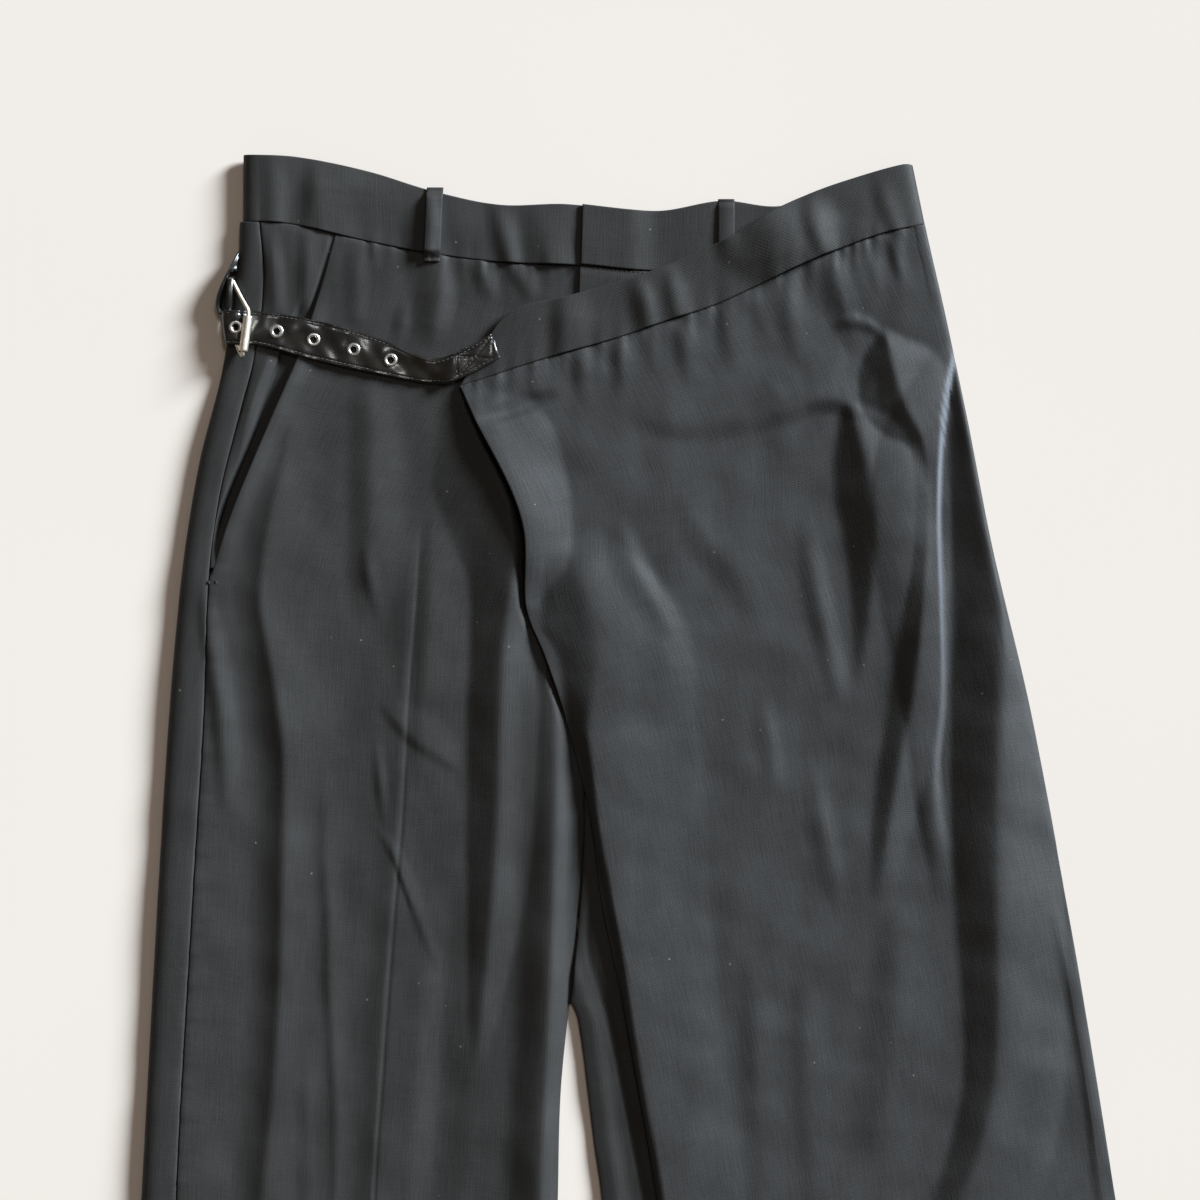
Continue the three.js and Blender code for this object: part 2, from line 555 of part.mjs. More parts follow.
function roller() {
  const head = new THREE.Vector3(...BUCKLE.rollerHead);
  const foot = new THREE.Vector3(...BUCKLE.rollerFoot);
  const half = head.distanceTo(foot) / 2 - 2.6;
  const { outer, inner } = ROLLER;
  const profile = [
    [inner, -half], [outer - 0.3, -half], [outer, -half + 0.4], [outer, half - 0.4],
    [outer - 0.3, half], [inner, half], [inner, -half],
  ].map(([r, z]) => new THREE.Vector2(r, z));
  const geometry = new THREE.LatheGeometry(profile, 16);
  const along = head.clone().sub(foot).normalize();
  geometry.applyQuaternion(new THREE.Quaternion().setFromUnitVectors(new THREE.Vector3(0, 1, 0), along));
  const middle = head.clone().add(foot).multiplyScalar(0.5);
  return geometry.translate(middle.x, middle.y, middle.z);
}

// Leather tab on its edge: from its rounded end on the hip round the frame's far corner to the strap's tail.
const TAB = [
  { x: -252.6, y: 479.3, top: 11.2, foot: 8.2 },
  { x: -256.2, y: 480.2, top: 11.4, foot: 8.2 },
  { x: -260.4, y: 478.6, top: 11.2, foot: 6.4 },
  { x: -264, y: 473.4, top: 10.8, foot: 3 },
  { x: -267.3, y: 465, top: 10.4, foot: 1.4 },
  { x: -268.9, y: 456.6, top: 10, foot: 1.4 },
];
function sideTab() {
  const along = (column) => curve(TAB.map((row, i) => ({ ...row, i })), 'i', column);
  const [x, y, top, foot] = ['x', 'y', 'top', 'foot'].map(along);
  return wall(steps(3).map((v) => steps(12).map((u) => {
    const i = u * (TAB.length - 1);
    return new THREE.Vector3(x(i), y(i), mix(top(i), foot(i), v));
  })), LEATHER - 0.2);
}

const wasm = await Module();
wasm.setup();

function solid(geometry) {
  const bare = geometry.clone();
  bare.deleteAttribute('normal');
  bare.deleteAttribute('uv');
  const merged = mergeVertices(bare, 1e-4);
  const body = new wasm.Manifold(new wasm.Mesh({
    numProp: 3,
    vertProperties: new Float32Array(merged.attributes.position.array),
    triVerts: new Uint32Array(merged.index.array),
  }));
  return body;
}

function geometryOf(body) {
  const mesh = body.getMesh();
  const geometry = new THREE.BufferGeometry();
  geometry.setAttribute('position', new THREE.BufferAttribute(new Float32Array(mesh.vertProperties), 3));
  geometry.setIndex(new THREE.BufferAttribute(new Uint32Array(mesh.triVerts), 1));
  return geometry;
}

const MATERIAL = {
  cloth: { color: 0x2c2d30, roughness: 0.85, metalness: 0 },
  leather: { color: 0x232325, roughness: 0.5, metalness: 0 },
  metal: { color: 0xb9b0a0, roughness: 0.3, metalness: 1 },
};

const trousers = new THREE.Group();
function add(name, geometry, finish) {
  const mesh = new THREE.Mesh(geometry, new THREE.MeshStandardMaterial(MATERIAL[finish]));
  mesh.name = name;
  trousers.add(mesh);
  return mesh;
}

add('back_right', backRight(), 'cloth');
add('back_left', backLeft(), 'cloth');
add('hip_facing', hipFacing(), 'cloth');
add('front_right', frontRight(), 'cloth');
add('front_left', frontLeft(), 'cloth');
add('waistband_right', waistbandRight(), 'cloth');
add('waistband_left', waistbandLeft(), 'cloth');
add('belt_loop_right', beltLoop(-137.5, 528.5, 484, 5.2, -2), 'cloth');
add('belt_loop_left', beltLoop(37, 521.5, 504, 5.1, 0), 'cloth');
add('wrap_panel', wrapPanel(), 'cloth');
add('wrap_band', wrapBand(), 'cloth');

const strap = EYELET_X.reduce((body, x) => {
  const hole = new THREE.CylinderGeometry(EYELET.socket, EYELET.socket, 30, 14).rotateX(Math.PI / 2);
  hole.translate(x, strapMiddle(x), strapUnderside(x));
  return body.subtract(solid(hole));
}, solid(strapShape()));
add('strap', geometryOf(strap), 'leather');
EYELET_X.forEach((x, i) => {
  const eyelet = add(`eyelet_${i + 1}`, eyeletShape(), 'metal');
  const slope = (strapUnderside(x + 3) - strapUnderside(x - 3)) / 6;
  eyelet.position.set(x, strapMiddle(x), strapUnderside(x) + LEATHER);
  eyelet.rotation.y = -Math.atan(slope);
});
add('buckle_frame', buckleFrame(), 'metal');
add('buckle_roller', roller(), 'metal');
add('side_tab', sideTab(), 'leather');

export default trousers;
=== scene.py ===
"""Dresses the wrap trousers, laid flat: wool cloth with folds and seams, a leather strap and a buckle.

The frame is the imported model's: +X to the wearer's left, +Y to the waist, +Z up from the surface.
Shapes are worked out in millimetres and become metres when a mesh is made.
"""

import logging
import math
from dataclasses import dataclass
from enum import Enum
from typing import Callable, Sequence

import bmesh
import bpy
import numpy as np
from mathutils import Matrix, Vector


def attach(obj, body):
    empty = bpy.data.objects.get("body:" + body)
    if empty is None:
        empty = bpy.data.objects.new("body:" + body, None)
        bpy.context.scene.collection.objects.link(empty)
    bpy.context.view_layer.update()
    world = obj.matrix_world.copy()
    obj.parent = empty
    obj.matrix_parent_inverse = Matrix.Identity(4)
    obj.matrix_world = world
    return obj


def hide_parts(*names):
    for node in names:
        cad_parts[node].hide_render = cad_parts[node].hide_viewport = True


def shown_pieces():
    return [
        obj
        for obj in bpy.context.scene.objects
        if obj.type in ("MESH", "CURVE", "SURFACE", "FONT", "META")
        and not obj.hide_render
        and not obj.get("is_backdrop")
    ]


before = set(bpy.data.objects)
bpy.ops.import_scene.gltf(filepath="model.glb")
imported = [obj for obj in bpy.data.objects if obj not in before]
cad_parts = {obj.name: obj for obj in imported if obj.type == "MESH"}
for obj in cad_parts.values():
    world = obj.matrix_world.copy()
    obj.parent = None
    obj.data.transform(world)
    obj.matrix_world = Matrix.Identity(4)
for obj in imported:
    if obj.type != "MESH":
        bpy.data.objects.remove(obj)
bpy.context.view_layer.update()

LOG = logging.getLogger("wrap_trousers")
MM = 0.001
BODY = "root"

Array = np.ndarray
Profile = Callable[[Array], Array]
Surface = Callable[[Array, Array], Array]
Colour = tuple[float, float, float]
Socket = bpy.types.NodeSocket
Tree = bpy.types.NodeTree
Material = bpy.types.Material
Object = bpy.types.Object
Values = dict[str | int, object]
Feeds = dict[str | int, Socket]


class Slot(Enum):
    """The record's material slots."""

    CLOTH = "cloth"
    LEATHER = "leather"
    EYELET = "eyelet_metal"
    BUCKLE = "buckle_metal"


def mix(a: Array, b: Array, t: Array) -> Array:
    """The value at the share t of the way from a to b."""
    return a + (b - a) * t


def rise(t: Array, low: float, high: float) -> Array:
    """0 at low and 1 at high, with no kink between."""
    u = np.clip((t - low) / (high - low), 0.0, 1.0)
    return u * u * (3.0 - 2.0 * u)


def hump(t: Array, middle: float, width: float) -> Array:
    """A bell of height 1 at middle."""
    return np.exp(-(((t - middle) / width) ** 2))


class Curve:
    """A smooth curve through rows of (place, value), straight beyond its ends."""

    def __init__(self, rows: Sequence[tuple[float, float]]) -> None:
        """Sorts the rows by place and works out the slope at each.

        Args:
            rows: the (place, value) of each point.
        """
        table = np.array(sorted(rows), float)
        self.at = table[:, 0]
        self.value = table[:, 1]
        count = len(self.at)
        before = np.maximum(np.arange(count) - 1, 0)
        after = np.minimum(np.arange(count) + 1, count - 1)
        self.slope = (self.value[after] - self.value[before]) / (self.at[after] - self.at[before])

    def __call__(self, t: Array) -> Array:
        """The value at each place.

        Args:
            t: the places.

        Returns:
            The values, in the same shape.
        """
        t = np.asarray(t, float)
        i = np.clip(np.searchsorted(self.at, t) - 1, 0, len(self.at) - 2)
        span = self.at[i + 1] - self.at[i]
        u = np.clip((t - self.at[i]) / span, 0.0, 1.0)
        u2, u3 = u * u, u * u * u
        inside = (
            (2 * u3 - 3 * u2 + 1) * self.value[i]
            + (u3 - 2 * u2 + u) * span * self.slope[i]
            + (3 * u2 - 2 * u3) * self.value[i + 1]
            + (u3 - u2) * span * self.slope[i + 1]
        )
        low = np.minimum(t - self.at[0], 0.0) * self.slope[0]
        high = np.maximum(t - self.at[-1], 0.0) * self.slope[-1]
        return inside + low + high


def distances(steps: Array) -> Array:
    """Places along a path, from the length of each step."""
    return np.concatenate([[0.0], np.cumsum(steps)])


def columns_at(at: Array, rows: Array, places: Array) -> list[Array]:
    """Each column of the rows as a smooth curve, at the places."""
    return [Curve(list(zip(at, column)))(places) for column in rows.T]


def points_at(x: Array, y: Array, z: Array) -> Array:
    """Points from their three places."""
    return np.stack([x, y, z], axis=-1)


@dataclass(frozen=True)
class Fold:
    """A soft ridge in the cloth along a path, or a trough where its height is negative.

    Each station is (x, y, left, right, height) in mm: a point of the crest, the ridge's width on the
    left and on the right of the path as it is walked, and its height there.
    """

    name: str
    stations: Sequence[tuple[float, float, float, float, float]]
    crest: float = 0.22
    foot: float = 0.3
    bulge: float = 0.0
    ease: float = 0.35

    def path(self, step: float = 7.0) -> Array:
        """The stations with points between them on a smooth line.

        Args:
            step: the points' distance in mm.

        Returns:
            A row of (x, y, left, right, height) for each point.
        """
        rows = np.array(self.stations, float)
        at = distances(np.hypot(*np.diff(rows[:, :2], axis=0).T))
        places = np.linspace(0.0, at[-1], max(int(at[-1] / step), 2) + 1)
        columns = columns_at(at, rows[:, :2], places)
        columns += [np.interp(places, at, rows[:, c]) for c in range(2, 5)]
        return np.stack(columns, axis=1)

    def height(self, x: Array, y: Array) -> Array:
        """The height that the fold adds.

        Args:
            x: places in mm, an array of any shape.
            y: places in mm, the same shape.

        Returns:
            The heights in mm, in that shape.
        """
        path = self.path()
        reach = path[:, 2:4].max() * (1.0 + self.foot) * (1.0 + self.ease) + 1.0
        low, high = path[:, :2].min(axis=0) - reach, path[:, :2].max(axis=0) + reach
        near = (x > low[0]) & (x < high[0]) & (y > low[1]) & (y < high[1])
        out = np.zeros_like(x)
        if not near.any():
            return out
        px, py = x[near], y[near]
        best = np.full(px.shape, np.inf)
        side, left, right, tall = (np.zeros(px.shape) for _ in range(4))
        for p, q in zip(path[:-1], path[1:]):
            dx, dy = q[0] - p[0], q[1] - p[1]
            t = np.clip(((px - p[0]) * dx + (py - p[1]) * dy) / (dx * dx + dy * dy), 0.0, 1.0)
            ox, oy = px - p[0] - t * dx, py - p[1] - t * dy
            away = ox * ox + oy * oy
            closer = away < best
            best = np.where(closer, away, best)
            side = np.where(closer, dx * oy - dy * ox, side)
            left = np.where(closer, p[2] + t * (q[2] - p[2]), left)
            right = np.where(closer, p[3] + t * (q[3] - p[3]), right)
            tall = np.where(closer, p[4] + t * (q[4] - p[4]), tall)
        gentle = right * (1.0 + self.ease * rise(right, 9.0, 16.0))
        width = np.maximum(np.where(side > 0, gentle, left), 0.5)
        far = np.sqrt(best) / width
        soft = self.crest
        v = 1.0 - (np.sqrt(far * far + soft**2) - soft) / (math.sqrt(1 + soft**2) - soft)
        bend = np.clip(v + self.foot, 0.0, None) ** 2 / (4.0 * self.foot)
        tent = np.where(v > self.foot, v, np.where(v > -self.foot, bend, 0.0))
        out[near] = tall * mix(tent, np.clip(1.0 - far * far, 0.0, 1.0), self.bulge)
        return out


FOLD_GAIN = 1.36


def folded(folds: Sequence[Fold], x: Array, y: Array) -> Array:
    """The sum of the folds' heights at each place.

    Args:
        folds: the folds.
        x: places in mm.
        y: places in mm.

    Returns:
        Heights in mm.
    """
    total = np.zeros_like(x)
    for fold in folds:
        total += FOLD_GAIN * fold.height(x, y)
    return total


def ripples(x: Array, y: Array, wave: float, tall: float, seed: int) -> Array:
    """An uneven low relief, so that no stretch of cloth is quite flat.

    Args:
        x: places in mm.
        y: places in mm.
        wave: the usual distance between crests in mm.
        tall: the usual height in mm.
        seed: which relief.

    Returns:
        Heights in mm, above and below zero.
    """
    source = np.random.default_rng(seed)
    total = np.zeros_like(x)
    count = 14
    for _ in range(count):
        turn = source.uniform(0, 2 * math.pi)
        length = wave * source.uniform(0.6, 1.7)
        start = source.uniform(0, 2 * math.pi)
        total += np.sin((x * math.cos(turn) + y * math.sin(turn)) * 2 * math.pi / length + start)
    return total * tall / math.sqrt(count / 2)


# Outlines and seams, in mm. Those that run down the garment are rows of (y, x), those across (x, y).
HIP_SIDE = Curve([
    (548, -250.5), (508, -254.7), (488, -255.5), (419, -265.5), (363, -279.3), (298, -289.5),
    (202, -298), (50, -307), (-79, -314), (-542, -340.5),
])
SIDE_SEAM = Curve([
    (508, -242.7), (473, -240.3), (423, -247), (384, -257), (345, -266.5), (297, -273), (212, -276.3),
    (113, -282.3), (-79, -293), (-545, -310),
])
POCKET_EDGE = Curve([
    (500, -197.7), (472, -205.5), (427, -220.5), (386, -238), (331, -260.7), (297, -271.7),
])
INSEAM_RIGHT = Curve([(170, -47.5), (110, -50.3), (58, -55), (-12, -62), (-79, -64), (-550, -77.7)])
INSEAM_LEFT = Curve([(41, -57), (29, -52), (-46, -42.3), (-76, -38), (-550, 9.3)])
FREE_EDGE = Curve([
    (409, -122.7), (388, -113), (347, -92), (320, -84), (276, -83), (247, -71.7), (207, -58.5),
    (154, -45.3), (99, -37.5), (41, -25.5), (-79, -4.5), (-542, 67.5),
])
WRAP_SIDE = Curve([
    (540, 149.3), (506, 156.3), (450, 169), (390, 181.5), (310, 197), (213, 220), (68, 247),
    (-79, 271), (-504, 340.5),
])
COVERED_FROM = Curve([
    (517, 68.7), (501, 44.7), (485, 9.3), (471, -32), (462, -63), (454, -92), (439, -105.3), (409, -124.5),
])
WAIST = Curve([
    (-252, 548), (-219, 546.3), (-177, 538), (-141, 527), (-99, 518.3), (-60, 518.7), (-4.5, 514),
    (35, 520), (70, 517), (148, 536),
])
WAIST_SEAM = Curve([
    (-256, 508), (-225, 506.5), (-177, 496), (-142, 489.5), (-99, 484), (-52, 482), (-10, 478.3),
    (30, 480), (70, 478), (155, 500),
])
HEM_RIGHT = Curve([(-340.5, -541), (-77.7, -550)])
HEM_LEFT = Curve([(9.3, -550), (67.5, -541.5), (340.5, -505)])

# In mm: thicknesses, the gap at a seam, how far the turned sides reach, heights, and single places.
HALF_LENGTH = 550.0
CLOTH = 1.1
BAND = 2.2
LEATHER = 2.2
SEAM = 0.3
HIP_ROLL = 9.0
WRAP_ROLL = 7.0
WRAP_SEAM_HEIGHT = 4.0
LAP_HEIGHT = 1.9
WAIST_SIDE = -252.6
CENTRE_BACK = -52.2
LAP_EDGE = -22.0
CROTCH = 41.0

# The wrap's band: head x and y, foot x and y, and height, along it from the strap over the left side to
# the centre back underneath.
WRAP_BAND = [
    (-105.3, 438.9, -122.5, 409.6, 7.6), (-97, 450, -108, 414, 7.9), (-84, 458, -92, 419.5, 8.3),
    (-62.7, 462.3, -68, 427, 8.9), (-32, 470.7, -31, 437.5, 9.2), (-6.3, 479, 0, 448, 9.2),
    (20.7, 490.5, 30, 458, 9.2), (44.7, 501.3, 58, 470.8, 9.2), (66, 515, 84, 483, 9.2),
    (90.3, 526, 106, 492, 9.2), (120, 536, 131, 501, 9.2), (142, 542, 149, 505, 8.6),
    (147.8, 542.3, 155, 506.3, 6.8), (149.1, 541.5, 156.3, 506.3, 4.3), (147.8, 540, 155, 506, 1.5),
    (143, 537, 149, 504, 0), (110, 523, 114, 489, 0), (70, 513, 72, 479, 0), (10, 510, 10, 478.5, 0),
    (-51.5, 512, -51.5, 482, 0),
]
BAND_FOOT = Curve([(row[2], row[3]) for row in WRAP_BAND[:13]])

# The strap's edges: rows of (x, y).
STRAP_UPPER = Curve([
    (-268, 454.5), (-244.5, 454), (-210, 449), (-171, 437.7), (-149, 427.5), (-137, 424.5),
    (-126, 428), (-101, 440.5),
])
STRAP_LOWER = Curve([
    (-268, 433.5), (-244.5, 434), (-210, 425), (-171, 416.5), (-149, 412.5), (-137, 411.5),
    (-126, 412.3), (-101, 426),
])

FRONT_FOLDS = [
    Fold("break of the crease", [
        (-151, 340, 9, 26, 0), (-155, 260, 9, 26, 0.7), (-163, 120, 9, 26, 0.9), (-172, 0, 9, 26, 0.9),
        (-182, -300, 9, 26, 0.9), (-190, -540, 9, 26, 0.7),
    ], crest=0.06, foot=0.5),
    Fold("bright side of the crease", [
        (-138, 335, 5, 12, 0), (-139, 300, 7, 17, 0.9), (-141, 255, 8, 19, 1.2), (-144, 205, 8, 18, 1),
        (-148, 165, 6, 14, 0),
    ], bulge=0.6),
    Fold("beside the side seam", [
        (-277, 290, 4, 6, 0), (-273, 262, 6, 9, 1.2), (-268, 230, 7, 10, 1.8), (-264, 190, 7, 10, 1.4),
        (-262, 150, 6, 8, 0),
    ]),
    Fold("long fold of the thigh", [
        (-222, 396, 9, 24, 0), (-227, 365, 10, 26, 1.5), (-236, 330, 11, 28, 2.6),
        (-242, 285, 12, 30, 3.4), (-238, 255, 12, 28, 3.8), (-232, 222, 13, 24, 4),
        (-228, 185, 13, 20, 3.8), (-229, 113, 13, 18, 3.5), (-231, 41, 13, 19, 3.2),
        (-235, -19, 13, 20, 3), (-241, -79, 13, 21, 3), (-252, -300, 14, 22, 2.6),
        (-266, -525, 14, 22, 1.2),
    ], crest=0.06, foot=0.7),
    Fold("short fold below the pocket", [
        (-176, 420, 8, 10, 0), (-176.5, 398, 13, 13, 1.3), (-176, 345, 14, 16, 2.1),
        (-176.5, 300, 13, 15, 1.7), (-180, 262, 8, 11, 0),
    ]),
    Fold("streak at its foot", [
        (-181, 318, 3, 5, 0), (-177, 294, 5, 7, 0.7), (-171, 268, 3, 5, 0),
    ]),
    Fold("fold beside the wrap", [
        (-100, 404, 34, 8, 3.1), (-94, 353, 46, 10, 5), (-90, 305, 32, 10, 5), (-93, 280, 24, 13, 5),
        (-97, 250, 20, 15, 5), (-98, 221, 20, 17, 4.9), (-101, 131, 18, 16, 4.3),
        (-106, 70, 12, 13, 2.8), (-110, 30, 8, 10, 1.4), (-113, 0, 4, 6, 0),
    ], crest=0.08, foot=0.05),
    Fold("fold along the inner leg", [
        (-66, 262, 18, 14, 0), (-67, 230, 20, 12, 2.62), (-66, 197, 21, 10, 3.68), (-66, 147, 21, 10, 4.2),
        (-67.5, 101, 20, 10, 4.46), (-69, 41, 19, 9, 4.46), (-72, -19, 20, 9, 4.2),
        (-75, -79, 20, 9, 4.2), (-85, -300, 22, 9, 3.41), (-92, -530, 22, 9, 1.97),
    ]),
    Fold("pressed crease", [
        (-145.5, 340, 1.4, 1.4, 0), (-147.5, 305, 1.5, 1.5, -0.21), (-149, 281, 1.5, 1.5, -0.3),
        (-152.7, 233, 1.5, 1.5, -0.33), (-157.5, 149, 1.5, 1.6, -0.33), (-163.5, 77, 1.5, 1.6, -0.36),
        (-169.5, -7, 1.6, 1.7, -0.36), (-174.3, -79, 1.7, 1.8, -0.36), (-190, -540, 1.7, 1.8, -0.3),
    ], crest=0.1, foot=0.15),
    Fold("jagged crease", [
        (-176, 147, 2, 4, 0), (-164.7, 132.3, 2.4, 6, 0.51), (-155.1, 108.3, 2.4, 8, 0.64),
        (-145.5, 81.9, 2.4, 7, 0.51), (-135.9, 58, 2, 5, 0),
    ], crest=0.15, foot=0.15),
    Fold("soft diagonal", [
        (-171, 222, 4, 8, 0), (-160, 208, 5, 12, 0.77), (-147, 196, 6, 14, 0.84), (-133, 187, 6, 12, 0.7),
        (-120, 176, 4, 7, 0),
    ], foot=0.2),
    Fold("thin line beside the crease", [
        (-173.1, 199, 3, 4, 0), (-171, 172, 3, 5, 0.9), (-168.3, 141, 2, 4, 0),
    ]),
    Fold("leaf below the thigh", [
        (-204.5, 190, 4, 8, 0), (-203.5, 122, 5, 9, 0.6), (-201.5, 90, 5, 10, 1), (-201, 50, 5, 10, 1),
        (-199.5, 15, 4, 9, 0.8), (-197.5, -30, 4, 8, 0.7), (-198, -78, 4, 8, 0.6),
        (-206, -260, 4, 8, 0),
    ], crest=0.06, foot=0.5),
    Fold("ridge left of the leaf", [
        (-214, 24, 5, 5, 0), (-214.5, -20, 6, 6, 0.36), (-214.5, -79, 6, 6, 0.36), (-222, -240, 6, 8, 0),
    ]),
    Fold("fullness left of the loop", [
        (-137, 487, 12, 9, 0.75), (-134.7, 466, 15, 10, 1.8), (-138, 446, 13, 9, 1.5), (-143, 432, 8, 6, 0),
    ]),
    Fold("fullness right of the loop", [
        (-111.5, 485, 7, 7, 0.5), (-107.5, 473, 8, 8, 1.2), (-102, 459, 6, 6, 0),
    ]),
    Fold("fullness beside the fly", [(-91, 483, 6, 7, 0.5), (-85.5, 473, 7, 9, 1), (-78, 461, 5, 6, 0)]),
    Fold("small fold over the strap", [(-155, 462, 4, 5, 0), (-158, 447, 6, 6, 0.8), (-162, 433, 4, 5, 0)]),
    Fold("fold right of the pocket", [
        (-184, 497, 7, 6, 0.3), (-184, 478, 9, 8, 0.85), (-185, 452, 7, 7, 0.5),
    ]),
    Fold("soft hollow at the knee", [
        (-128, 120, 12, 12, 0), (-132, 40, 14, 14, -1.6), (-140, -90, 14, 14, -1.6),
        (-150, -300, 16, 16, 0),
    ]),
    Fold("shin fold", [
        (-140, -60, 10, 14, 0), (-128, -180, 16, 22, 3.06), (-136, -330, 16, 22, 2.7),
        (-150, -520, 12, 18, 0),
    ]),
]
UNDER_FOLDS = [
    Fold("seam of the inner leg", [
        (-38, 120, 2.4, 2.4, 0), (-45.9, 84.3, 2.6, 2.6, -0.7), (-44.7, 66.9, 2.6, 2.6, -0.8),
        (-36.9, 43.5, 2.6, 2.6, -0.8), (-18.3, -44.1, 2.8, 2.8, -0.8), (30, -300, 3, 3, -0.6),
        (60, -540, 3, 3, -0.5),
    ], crest=0.1, foot=0.1, ease=0.0),
]
FACING_FOLDS = [
    Fold("fold beside the side seam", [
        (-235, 497, 6, 6, 0.3), (-234.3, 482, 8, 7, 1.32), (-233, 455, 8, 7, 1.2),
    ]),
    Fold("fold beside the pocket", [
        (-214, 500, 6, 7, 0.3), (-214, 480, 7, 8, 1.08), (-216, 455, 6, 6, 0.6),
    ]),
    Fold("fold below the strap", [(-238, 425, 7, 6, 1.2), (-247, 400, 7, 6, 1.4), (-256, 360, 5, 5, 0)]),
]
